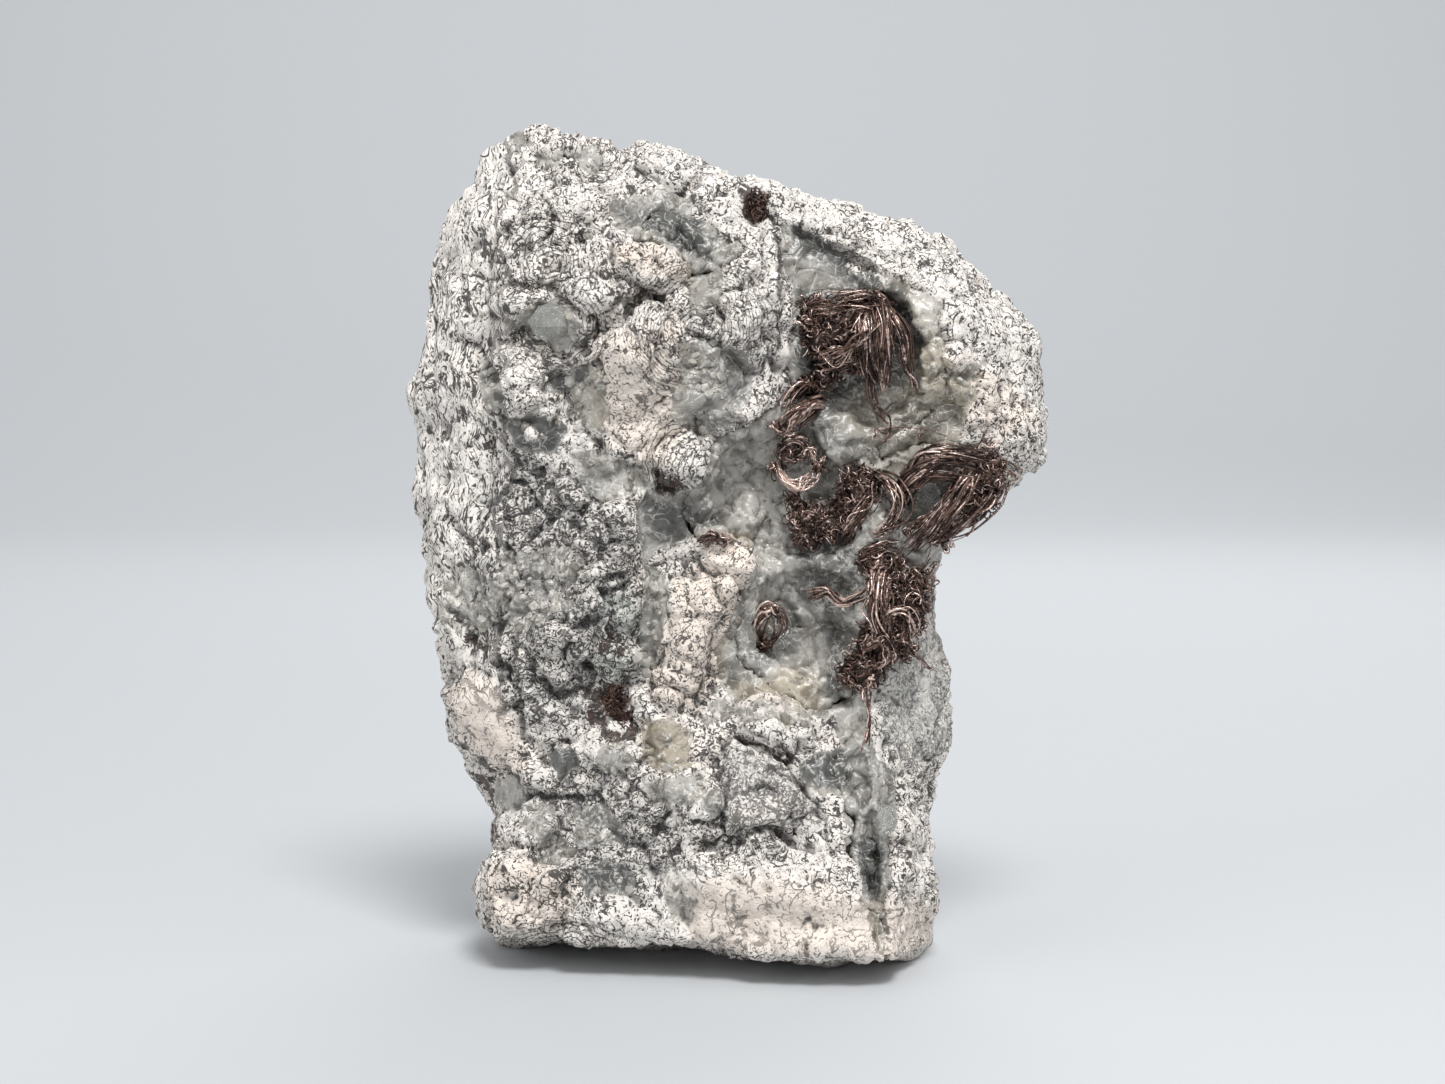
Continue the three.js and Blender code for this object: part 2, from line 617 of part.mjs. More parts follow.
// A rounded, uneven lump: an icosphere whose points are pushed in and out.
function lumpSolid(centre, half, seed, { rough, grow }) {
  const size = grownHalf(half, grow);
  const bumpSize = 0.7;
  const sphere = weldGeometry(new THREE.IcosahedronGeometry(1, 1));
  return toSolid(moveVertices(sphere, (vertex) => {
    const push = 1 + rough * noise(vertex, bumpSize, seed);
    return vertex.clone().multiply(size).multiplyScalar(push).add(new THREE.Vector3(...centre));
  }));
}

// An angular chip or crystal: the hull of points spread evenly over an ellipsoid, each a little off.
function chipSolid(centre, half, seed, { points, rough, grow }) {
  const size = grownHalf(half, grow);
  const random = seededRandom(seed);
  const goldenAngle = Math.PI * (3 - Math.sqrt(5));
  const turn = random() * Math.PI * 2;
  const spread = [];
  for (let index = 0; index < points; index += 1) {
    const height = 1 - (2 * index + 1) / points;
    const ring = Math.sqrt(1 - height * height);
    const angle = turn + goldenAngle * index;
    const push = 1 - rough * random();
    const point = new THREE.Vector3(ring * Math.cos(angle), height, ring * Math.sin(angle));
    spread.push(point.multiplyScalar(push).multiply(size));
  }
  const hull = new ConvexGeometry(spread);
  hull.translate(...centre);
  return toSolid(hull);
}

// A wire: a closed cylinder bent along a curve, its radius changing from one end to the other.
function wireSolid({ route, radius }) {
  const sides = Math.max(...radius) > 0.8 ? 5 : 4;
  const curve = new THREE.CatmullRomCurve3(route.map((point) => new THREE.Vector3(...point)));
  const segments = Math.max(2, Math.min(5, Math.round(curve.getLength() / 2.2)));
  const frames = curve.computeFrenetFrames(segments, false);
  const cylinder = weldGeometry(new THREE.CylinderGeometry(1, 1, 1, sides, segments));
  return toSolid(moveVertices(cylinder, (vertex) => {
    const share = vertex.y + 0.5;
    const frame = Math.round(share * segments);
    const across = THREE.MathUtils.lerp(radius[0], radius[1], share);
    return curve.getPointAt(THREE.MathUtils.clamp(share, 0, 1))
      .addScaledVector(frames.normals[frame], -vertex.x * across)
      .addScaledVector(frames.binormals[frame], vertex.z * across);
  }));
}

// Broad low lumps scattered over the back.
function backSolids() {
  const random = seededRandom(seeds.back);
  const { lerp } = THREE.MathUtils;
  const { count, across, up, width, height, depth, rise } = backLumps;
  return Array.from({ length: count }, (_, index) => {
    const x = lerp(...across, random());
    const z = lerp(...up, (index + random()) / count);
    const level = backLevel(new THREE.Vector3(x, 0, z));
    const half = [lerp(...width, random()), depth, lerp(...height, random())];
    const shape = { points: 20, rough: 0.22, grow: 0 };
    return chipSolid([x, level - depth + rise, z], half, seeds.back + index, shape);
  });
}

// ---- hollows and the quartz that lines them ----
function hollowSolid(spaces, grow) {
  return union(spaces.map(({ centre, half, seed }) => (
    lumpSolid(centre, half, seed, { rough: 0.12, grow }))));
}

function grainSolid(space, { thickness, grains }, random, index, raise) {
  const direction = new THREE.Vector3(random() * 2 - 1, random() + 0.15, random() * 2 - 1).normalize();
  const size = THREE.MathUtils.lerp(...grains.size, random());
  const centre = space.centre.map((value, axis) => (
    value + direction.getComponent(axis) * (space.half[axis] - thickness)));
  const half = [size, size, size * (0.8 + 0.5 * random())];
  return chipSolid(centre, half, grains.seed + index, { points: 8, rough: 0.25, grow: raise });
}

// The quartz shell of a hollow with its larger grains. A raised one stands a clearance further out.
function crustSolid(hollow, raise) {
  const { spaces, thickness, grains } = hollow;
  const random = seededRandom(grains.seed);
  const outer = hollowSolid(spaces, -clearance);
  const shell = outer.subtract(hollowSolid(spaces, -thickness - raise));
  const grainSolids = Array.from({ length: grains.count }, (_, index) => (
    grainSolid(spaces[index % spaces.length], hollow, random, index, raise)));
  return union([shell, ...grainSolids]).intersect(outer);
}

function silverSolid({ mats = [], wires = [] }) {
  const matSolids = mats.map(({ centre, half }, index) => (
    chipSolid(centre, half, seeds.mats + index, { points: 18, rough: 0.12, grow: 0 })));
  return union([...matSolids, ...wires.map(wireSolid)]);
}

function crystalSolid({ centre, half, points, seed }) {
  return chipSolid(centre, half, seed, { points, rough: 0.08, grow: 0 });
}

function footCutter() {
  const cutter = new THREE.BoxGeometry(footSpan, footSpan, footDepth);
  cutter.translate(0, 0, -footDepth / 2);
  return toSolid(cutter);
}

// ---- assembly ----
const crusts = Object.values(hollows);
const body = union([toSolid(blockGeometry()), ...backSolids()]);
const matrix = crusts
  .reduce((rock, { spaces }) => rock.subtract(hollowSolid(spaces, 0)), body)
  .subtract(footCutter());

// The rock and its quartz a clearance proud of their real faces: whatever grows on them is cut here.
const raisedBlock = toSolid(blockGeometry().translate(0, -clearance, 0));
const seat = crusts
  .reduce((rock, { spaces }) => rock.subtract(hollowSolid(spaces, -clearance)), raisedBlock)
  .add(union(crusts.map((hollow) => crustSolid(hollow, clearance).intersect(raisedBlock))));

const specimen = new THREE.Group();
specimen.name = 'native_silver_specimen';
specimen.add(namedMesh('calcite_matrix', matrix, calcite));
for (const [name, hollow] of Object.entries(hollows)) {
  specimen.add(namedMesh(name, crustSolid(hollow, 0).intersect(body), quartz));
}
for (const [name, crystal] of Object.entries(clearCrystals)) {
  specimen.add(namedMesh(name, crystalSolid(crystal).subtract(seat), clearQuartz));
}
for (const [name, cluster] of Object.entries(silver)) {
  specimen.add(namedMesh(name, silverSolid(cluster).subtract(seat), tarnishedSilver));
}

// The origin is the middle of the specimen's box, on the level of its foot.
const middle = new THREE.Box3().setFromObject(specimen).getCenter(new THREE.Vector3());
specimen.position.set(-middle.x, -middle.y, 0);

export default specimen;
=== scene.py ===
import math
import bpy
import numpy as np
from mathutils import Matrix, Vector


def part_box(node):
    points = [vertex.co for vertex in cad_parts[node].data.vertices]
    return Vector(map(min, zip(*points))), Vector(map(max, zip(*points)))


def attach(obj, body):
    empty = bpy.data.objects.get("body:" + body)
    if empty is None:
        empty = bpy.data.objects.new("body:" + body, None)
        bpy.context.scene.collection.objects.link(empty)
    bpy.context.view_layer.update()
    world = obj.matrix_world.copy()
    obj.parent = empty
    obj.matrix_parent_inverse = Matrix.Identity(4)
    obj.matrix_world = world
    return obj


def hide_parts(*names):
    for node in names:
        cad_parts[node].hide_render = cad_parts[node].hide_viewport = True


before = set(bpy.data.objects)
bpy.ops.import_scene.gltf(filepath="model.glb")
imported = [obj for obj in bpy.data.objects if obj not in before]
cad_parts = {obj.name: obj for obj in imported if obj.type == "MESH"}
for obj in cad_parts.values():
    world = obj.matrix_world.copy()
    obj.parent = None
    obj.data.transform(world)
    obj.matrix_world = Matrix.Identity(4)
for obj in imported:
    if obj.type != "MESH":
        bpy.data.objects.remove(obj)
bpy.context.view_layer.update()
millimetre = 0.001  # every length below is in millimetres unless its note says otherwise
specimen = bpy.context.scene.collection

pixel = 0.107  # one pixel of the camera's frame, at the front of the rock

view = {
    "eye": (-0.49, -298.37, 66.0),
    "pitch": 4.0,  # degrees down
    "fieldOfView": 30.0,  # degrees across
    "imageSize": (1445, 1084),
}


# numbers: noise, cells, outlines
def ease(low, high, value):
    share = np.clip((value - low) / (high - low), 0, 1)
    return share * share * (3 - 2 * share)


def scrambled(cell, seed):  # one random whole number for each cell
    x, y, z = (cell[:, axis].astype(np.int64).astype(np.uint32) for axis in range(3))
    mixed = x * np.uint32(374761393) + y * np.uint32(668265263) + z * np.uint32(1440662683)
    mixed += np.uint32((seed * 974634777 + 12345) % 2 ** 32)
    for shift, factor in ((15, 2246822519), (13, 3266489917)):
        mixed ^= mixed >> np.uint32(shift)
        mixed *= np.uint32(factor)
    return mixed ^ (mixed >> np.uint32(16))


def hashed(cell, seed):
    return scrambled(cell, seed) / 2 ** 32


def hashedPoint(cell, seed):
    mixed = scrambled(cell, seed)
    return np.stack([(mixed >> np.uint32(shift) & np.uint32(1023)) / 1024
                     for shift in (0, 10, 20)], 1)


directions = np.random.default_rng(3).normal(size=(256, 3))
directions /= np.linalg.norm(directions, axis=1)[:, None]


def noise(points, size, seed):  # smooth, about -1 to 1
    place = points / size + 0.37 * seed
    cell = np.floor(place)
    inside = place - cell
    fade = inside ** 3 * (inside * (inside * 6 - 15) + 10)
    total = np.zeros(len(points))
    for corner in range(8):
        step = np.array([corner & 1, corner >> 1 & 1, corner >> 2 & 1])
        weight = np.prod(np.where(step, fade, 1 - fade), axis=1)
        pick = directions[scrambled(cell + step, seed) >> np.uint32(24)]
        total += weight * ((inside - step) * pick).sum(1)
    return total * 1.5


def layered(points, size, seed, layers=3):
    return sum(noise(points, size / 2 ** k, seed + 10 * k) / 2 ** k for k in range(layers))


def cells(points, size, seed):  # nearest and second nearest seed point, in cell sizes
    place = points / size
    home = np.floor(place)
    near = np.full(len(points), np.inf)
    second = near.copy()
    owner = home.copy()
    toward = np.zeros_like(points)
    for corner in range(27):
        step = np.array([corner % 3, corner // 3 % 3, corner // 9]) - 1
        cell = home + step
        gap = cell + hashedPoint(cell, seed) - place
        apart = (gap ** 2).sum(1)
        closer = apart < near
        second = np.where(closer, near, np.minimum(second, apart))
        near = np.where(closer, apart, near)
        owner[closer] = cell[closer]
        toward[closer] = gap[closer]
    return np.sqrt(near), np.sqrt(second), owner, toward


def facets(points, size, seed, tiltSeed):  # cells, each a flat face with a tilt of its own
    near, second, owner, toward = cells(points, size, seed)
    slope = (toward * (hashedPoint(owner, tiltSeed) - 0.5)).sum(1)
    return near, second, owner, slope


def toImage(points):  # where each point falls in the camera's frame, in pixels
    width, height = view["imageSize"]
    pitch = math.radians(view["pitch"])
    focal = width / 2 / math.tan(math.radians(view["fieldOfView"]) / 2)
    offset = points - np.array(view["eye"])
    depth = offset[:, 1] * math.cos(pitch) - offset[:, 2] * math.sin(pitch)
    up = offset[:, 1] * math.sin(pitch) + offset[:, 2] * math.cos(pitch)
    return np.stack((width / 2 + focal * offset[:, 0] / depth, height / 2 - focal * up / depth), 1)


outlineMargin = 32  # beyond this many pixels outside, an outline has no effect


def nearTo(corners, spots):
    low, high = corners.min(0) - outlineMargin, corners.max(0) + outlineMargin
    return np.flatnonzero(((spots > low) & (spots < high)).all(1))


def gapToLine(line, spots, closed=False):
    corners = np.array(line, float)
    ends = np.roll(corners, -1, axis=0)
    if not closed:
        corners, ends = corners[:-1], ends[:-1]
    near = nearTo(np.array(line, float), spots)
    around = spots[near]
    nearest = np.full(len(near), outlineMargin ** 2.0)
    for start, end in zip(corners, ends):
        along = end - start
        share = np.clip((around - start) @ along / (along @ along), 0, 1)
        nearest = np.minimum(nearest, ((around - start - share[:, None] * along) ** 2).sum(1))
    gap = np.full(len(spots), float(outlineMargin))
    gap[near] = np.sqrt(nearest)
    return gap


def reachInto(outline, spots):  # pixels inside an outline, negative outside
    corners = np.array(outline, float)
    near = nearTo(corners, spots)
    around = spots[near]
    inside = np.zeros(len(near), bool)
    for start, end in zip(corners, np.roll(corners, -1, axis=0)):
        crosses = (start[1] > around[:, 1]) != (end[1] > around[:, 1])
        rise = end[1] - start[1] if end[1] != start[1] else 1e-9
        meets = start[0] + (around[:, 1] - start[1]) * (end[0] - start[0]) / rise
        inside ^= crosses & (around[:, 0] < meets)
    reach = -gapToLine(outline, spots, True)
    reach[near[inside]] *= -1
    return reach


# outlines that two finishes share, in pixels of the camera's frame
eyeOutline = [(508, 420), (530, 412), (560, 416), (566, 436), (556, 452), (530, 456), (512, 446)]
darkChipOutline = [(538, 372), (560, 366), (570, 382), (560, 398), (542, 392)]
darkCrystalOutline = [(547, 752), (562, 742), (577, 750), (576, 770), (560, 778), (548, 768)]
tanGlassOutline = [(640, 722), (670, 714), (694, 730), (694, 765), (668, 772), (642, 758)]

# where each finish lies on the front: how strongly, how soft its edge is and its outline, both
# in pixels of the camera's frame
zones = {
    "quartz": {
        "topPatch": (1.0, 7, [
            (612, 201), (643, 195), (664, 190), (688, 200), (694, 226), (714, 223), (719, 250),
            (724, 300), (700, 312), (690, 290), (686, 258), (668, 246), (640, 236), (614, 228)]),
        "topFleck": (0.75, 5, [(573, 152), (592, 146), (606, 158), (600, 176), (580, 172)]),
        "topFleckLeft": (0.6, 5, [(533, 152), (552, 149), (568, 158), (560, 168), (538, 166)]),
        "nub": (1.0, 4, [(509, 131), (526, 129), (531, 146), (512, 152)]),
        "upperPocket": (1.0, 6, [
            (781, 226), (806, 228), (828, 246), (853, 258), (850, 280), (880, 290), (902, 302),
            (905, 335), (860, 345), (800, 335), (790, 290), (782, 260)]),
        "hollow": (1.0, 7, [
            (800, 300), (905, 320), (925, 345), (950, 372), (966, 400), (962, 440), (992, 458),
            (1024, 472), (990, 500), (955, 535), (945, 560), (938, 600), (905, 650), (850, 706),
            (834, 716), (813, 720), (795, 700), (763, 694), (735, 700), (716, 680), (716, 650),
            (737, 607), (754, 575), (757, 548), (738, 530), (700, 536), (660, 545), (650, 570),
            (640, 548), (634, 520), (645, 497), (700, 492), (730, 470), (760, 455), (770, 420),
            (790, 400), (792, 360), (798, 330)]),
        "creamGlaze": (0.62, 9, [
            (679, 344), (700, 336), (740, 350), (762, 372), (754, 405), (735, 432), (700, 445),
            (676, 418), (672, 380)]),
        "columnShade": (0.85, 6, [
            (648, 556), (664, 575), (668, 600), (662, 640), (655, 675), (640, 672), (638, 640),
            (645, 600)]),
        "flankChip": (0.9, 5, [
            (480, 375), (492, 368), (503, 382), (504, 412), (488, 414), (478, 398)]),
        "darkChip": (1.0, 4, darkChipOutline),
        "eye": (1.0, 5, eyeOutline),
        "paleChip": (0.8, 6, [
            (572, 370), (592, 362), (606, 378), (608, 410), (600, 432), (580, 430), (570, 400)]),
        "underMass": (0.85, 6, [
            (566, 455), (600, 452), (640, 470), (652, 492), (620, 500), (585, 498)]),
        "dome": (0.8, 6, [
            (540, 300), (570, 305), (585, 325), (575, 348), (553, 350), (540, 335), (518, 328),
            (520, 312)]),
        "flankMix": (0.55, 10, [
            (437, 575), (470, 560), (500, 580), (500, 628), (470, 640), (440, 622)]),
        "middleMix": (0.5, 10, [
            (500, 548), (560, 540), (600, 560), (590, 600), (545, 640), (510, 650), (495, 600)]),
        "darkCrystal": (1.0, 3, darkCrystalOutline),
        "greenGlass": (0.85, 4, [(596, 745), (628, 742), (634, 762), (622, 775), (600, 774)]),
        "tanGlass": (0.75, 5, tanGlassOutline),
        "lowGrey": (0.65, 8, [(643, 778), (702, 772), (706, 800), (690, 812), (650, 808)]),
        "lowGreyLeft": (0.75, 7, [(571, 808), (600, 802), (624, 820), (622, 848), (580, 850)]),
        "lowBand": (0.5, 8, [(520, 800), (560, 806), (568, 840), (540, 850), (518, 830)]),
        "lowSmoke": (0.9, 5, [(576, 872), (610, 862), (634, 872), (630, 893), (590, 896)]),
        "lowChip": (0.65, 5, [(536, 842), (571, 838), (574, 858), (545, 864)]),
        "cleftGrey": (0.75, 5, [(498, 775), (524, 778), (530, 800), (510, 812), (497, 800)]),
        "seamTop": (1.0, 5, [
            (836, 698), (868, 698), (872, 740), (866, 758), (845, 754), (838, 730)]),
        "seamLeft": (1.0, 6, [
            (798, 762), (822, 750), (846, 754), (852, 785), (835, 797), (806, 787)]),
        "seamRight": (0.9, 5, [
            (862, 765), (885, 760), (900, 775), (897, 795), (878, 800), (862, 790)]),
        "seamMiddle": (1.0, 6, [
            (843, 796), (870, 790), (897, 800), (899, 828), (880, 840), (856, 834), (842, 818)]),
        "seamLow": (0.95, 5, [
            (843, 836), (868, 836), (884, 850), (884, 882), (872, 884), (856, 868)]),
        "seamFoot": (0.8, 5, [
            (858, 872), (882, 870), (886, 905), (882, 955), (872, 958), (866, 920)]),
        "oval": (0.9, 3, [
            (706, 790), (716, 785), (725, 795), (723, 812), (712, 818), (704, 806)]),
        "footPale": (0.5, 7, [
            (664, 876), (690, 872), (700, 895), (698, 925), (680, 930), (664, 905)]),
        "sill": (0.5, 8, [
            (690, 702), (735, 696), (790, 700), (815, 712), (812, 728), (770, 724), (700, 724)]),
        "shell": (0.6, 6, [
            (917, 360), (945, 356), (982, 372), (986, 400), (960, 408), (925, 385)]),
    },
    "calcite": {
        "column": (1.0, 4, [
            (704, 538), (722, 531), (748, 536), (757, 548), (752, 575), (738, 604), (718, 650),
            (714, 680), (706, 708), (680, 712), (656, 700), (650, 678), (665, 650), (668, 610),
            (672, 585), (690, 576), (704, 560)]),
        "eyeKnob": (1.0, 3, [(523, 428), (533, 425), (541, 432), (538, 442), (526, 442)]),
        "whiteLump": (1.0, 5, [
            (535, 628), (560, 621), (592, 626), (594, 655), (576, 688), (548, 680), (536, 655)]),
        "paleKnob": (1.0, 4, [(722, 292), (742, 282), (756, 292), (748, 312), (726, 318)]),
        "creamPatch": (0.6, 6, [(870, 425), (905, 418), (925, 430), (900, 446), (874, 442)]),
    },
    # darker glass: smoky quartz, and painted shade under the hood and the plate, behind the silver
    # tuft and beneath the silver mats
    "smoke": {
        "pocketBack": (0.8, 8, [(798, 330), (835, 318), (852, 380), (824, 420), (796, 400)]),
        "glazeShade": (0.45, 10, [
            (690, 350), (740, 352), (760, 372), (750, 410), (715, 445), (690, 420), (680, 380)]),
        "tuftShade": (0.8, 8, [(795, 285), (905, 300), (915, 345), (900, 392), (800, 392)]),
        "shelfShade": (0.4, 10, [
            (800, 405), (850, 400), (930, 400), (960, 430), (930, 452), (850, 462), (800, 450)]),
        "underPlate": (0.8, 8, [(638, 497), (700, 500), (730, 515), (700, 534), (652, 540)]),
        "underMat": (0.75, 12, [(785, 535), (850, 530), (862, 580), (835, 622), (800, 600)]),
        "ringShade": (0.7, 10, [(742, 610), (792, 600), (800, 650), (760, 672), (740, 650)]),
        "clusterShade": (0.8, 8, [(828, 612), (852, 630), (848, 706), (826, 690)]),
        "hoodShade": (0.9, 8, [
            (794, 224), (850, 244), (905, 294), (928, 345), (905, 350), (878, 305), (838, 272),
            (798, 248)]),
        "topPatchShade": (0.7, 6, [
            (618, 208), (660, 205), (700, 220), (710, 260), (690, 250), (660, 232), (622, 226)]),
        "eyeShade": (0.8, 5, eyeOutline),
        "chipShade": (0.9, 4, darkChipOutline),
        "crystalShade": (1.0, 4, darkCrystalOutline),
        "lowLeftShade": (0.5, 12, [(545, 800), (640, 805), (640, 890), (550, 885)]),
        "lowShade": (0.8, 5, [(580, 872), (610, 864), (630, 874), (625, 890), (592, 894)]),
        "seamShade": (1.0, 6, [
            (800, 762), (822, 752), (846, 756), (850, 785), (835, 795), (808, 785)]),
        "seamLowShade": (0.7, 6, [(845, 838), (870, 838), (882, 870), (880, 900), (866, 890)]),
        "edgeShade": (0.9, 4, [(984, 478), (1024, 468), (1016, 486), (1000, 500), (988, 502)]),
    },
    # brown-black stains, and painted shade in the cleft and the crevices
    "stain": {
        "lowPatch": (0.8, 5, [
            (583, 688), (603, 684), (604, 710), (612, 725), (635, 724), (638, 740), (615, 743),
            (598, 738), (586, 715)]),
        "topPatchStain": (0.8, 6, [(741, 188), (760, 184), (769, 205), (763, 223), (747, 220)]),
        "plateSpots": (0.75, 5, [(650, 470), (668, 466), (681, 488), (672, 496), (655, 490)]),
        "massSpots": (0.65, 5, [(590, 438), (606, 442), (606, 464), (592, 460)]),
        "cleft": (0.7, 7, [
            (470, 765), (492, 775), (500, 800), (498, 845), (486, 857), (474, 820)]),
        "leafCrevice": (0.55, 8, [
            (616, 264), (640, 276), (655, 292), (668, 308), (645, 306), (628, 318), (606, 350),
            (578, 354), (590, 336), (612, 312)]),
        "hornBed": (0.6, 5, [(775, 385), (815, 378), (826, 400), (790, 430), (778, 415)]),
        "greenCrevice": (0.7, 5, [(594, 640), (612, 632), (640, 645), (628, 655), (600, 656)]),
        "flankPits": (0.6, 5, [(462, 620), (482, 628), (494, 648), (478, 660), (464, 645)]),
    },
    "green": {
        "greenUpper": (0.9, 9, [
            (598, 600), (625, 590), (648, 608), (644, 640), (612, 650), (598, 625)]),
        "greenLower": (0.9, 7, [(592, 652), (620, 648), (642, 660), (638, 680), (604, 682)]),
        "greenFlank": (0.35, 16, [
            (890, 670), (925, 655), (950, 690), (950, 750), (915, 768), (885, 740)]),
    },
    "warm": {
        "creamMass": (0.8, 14, [
            (590, 350), (640, 325), (672, 320), (690, 340), (684, 380), (682, 430), (660, 475),
            (620, 450), (590, 420), (588, 380)]),
        "columnCream": (1.0, 6, [
            (704, 534), (750, 534), (755, 575), (738, 604), (716, 690), (700, 712), (656, 702),
            (650, 678), (668, 610), (672, 585), (704, 560)]),
        "footStrip": (0.85, 14, [
            (690, 885), (760, 872), (860, 900), (915, 900), (950, 905), (942, 938), (900, 962),
            (780, 952), (690, 938)]),
        "footLump": (0.85, 12, [
            (478, 872), (520, 850), (570, 865), (576, 900), (560, 932), (492, 930)]),
        "pinkLump": (0.9, 10, [
            (443, 690), (470, 672), (508, 690), (516, 740), (530, 775), (500, 772), (462, 740)]),
        "leafTan": (1.0, 6, [
            (612, 246), (650, 240), (690, 262), (692, 282), (660, 276), (622, 262)]),
        "tanGlassWarm": (1.0, 6, tanGlassOutline),
        "sillWarm": (0.9, 7, [
            (720, 682), (760, 684), (800, 668), (820, 680), (816, 716), (790, 706), (740, 700)]),
        "hollowWarm": (0.55, 20, [
            (840, 330), (930, 350), (980, 400), (960, 460), (880, 470), (840, 420)]),
        "shellWarm": (0.8, 8, [
            (900, 350), (950, 350), (1000, 372), (1040, 420), (1000, 440), (950, 410),
            (915, 385)]),
        "hoodInner": (0.5, 12, [
            (850, 260), (900, 280), (940, 330), (960, 380), (930, 360), (890, 300)]),
    },
    "plain": {  # calcite with few cracks
        "footStripPlain": (0.6, 12, [
            (690, 890), (760, 876), (860, 905), (940, 915), (900, 962), (780, 952), (690, 938)]),
        "pinkPlain": (0.6, 8, [(452, 690), (500, 690), (512, 740), (500, 765), (465, 735)]),
        "massPlain": (0.25, 10, [(610, 360), (660, 350), (680, 400), (660, 450), (610, 430)]),
        "flankPlain": (0.6, 12, [(890, 640), (940, 600), (950, 750), (915, 768), (885, 740)]),
        "blockPlain": (0.3, 8, [
            (735, 750), (770, 750), (795, 772), (820, 808), (826, 830), (760, 832), (726, 826),
            (728, 780)]),
        "columnPlain": (0.1, 6, [
            (704, 538), (748, 536), (752, 575), (718, 650), (706, 708), (656, 700), (668, 610),
            (690, 576)]),
        "footPalePlain": (0.8, 7, [(664, 870), (690, 866), (705, 895), (700, 935), (670, 925)]),
    },
    "grime": {  # grey dust that dulls the white
        "middleGrime": (0.95, 22, [
            (480, 490), (520, 455), (600, 480), (640, 560), (610, 690), (560, 740), (500, 690),
            (470, 640)]),
        "lowGrime": (0.95, 16, [
            (520, 780), (600, 780), (660, 800), (690, 860), (600, 900), (540, 850)]),
        "blockGrime": (1.0, 12, [(725, 755), (790, 760), (822, 820), (770, 860), (705, 830)]),
        "columnGrime": (0.4, 8, [(656, 640), (720, 600), (716, 650), (706, 708), (660, 700)]),
        # this greys the right flank, which faces away from the light: painted shade
        "flankShade": (0.8, 12, [(885, 640), (945, 600), (952, 750), (918, 775), (880, 740)]),
    },
}


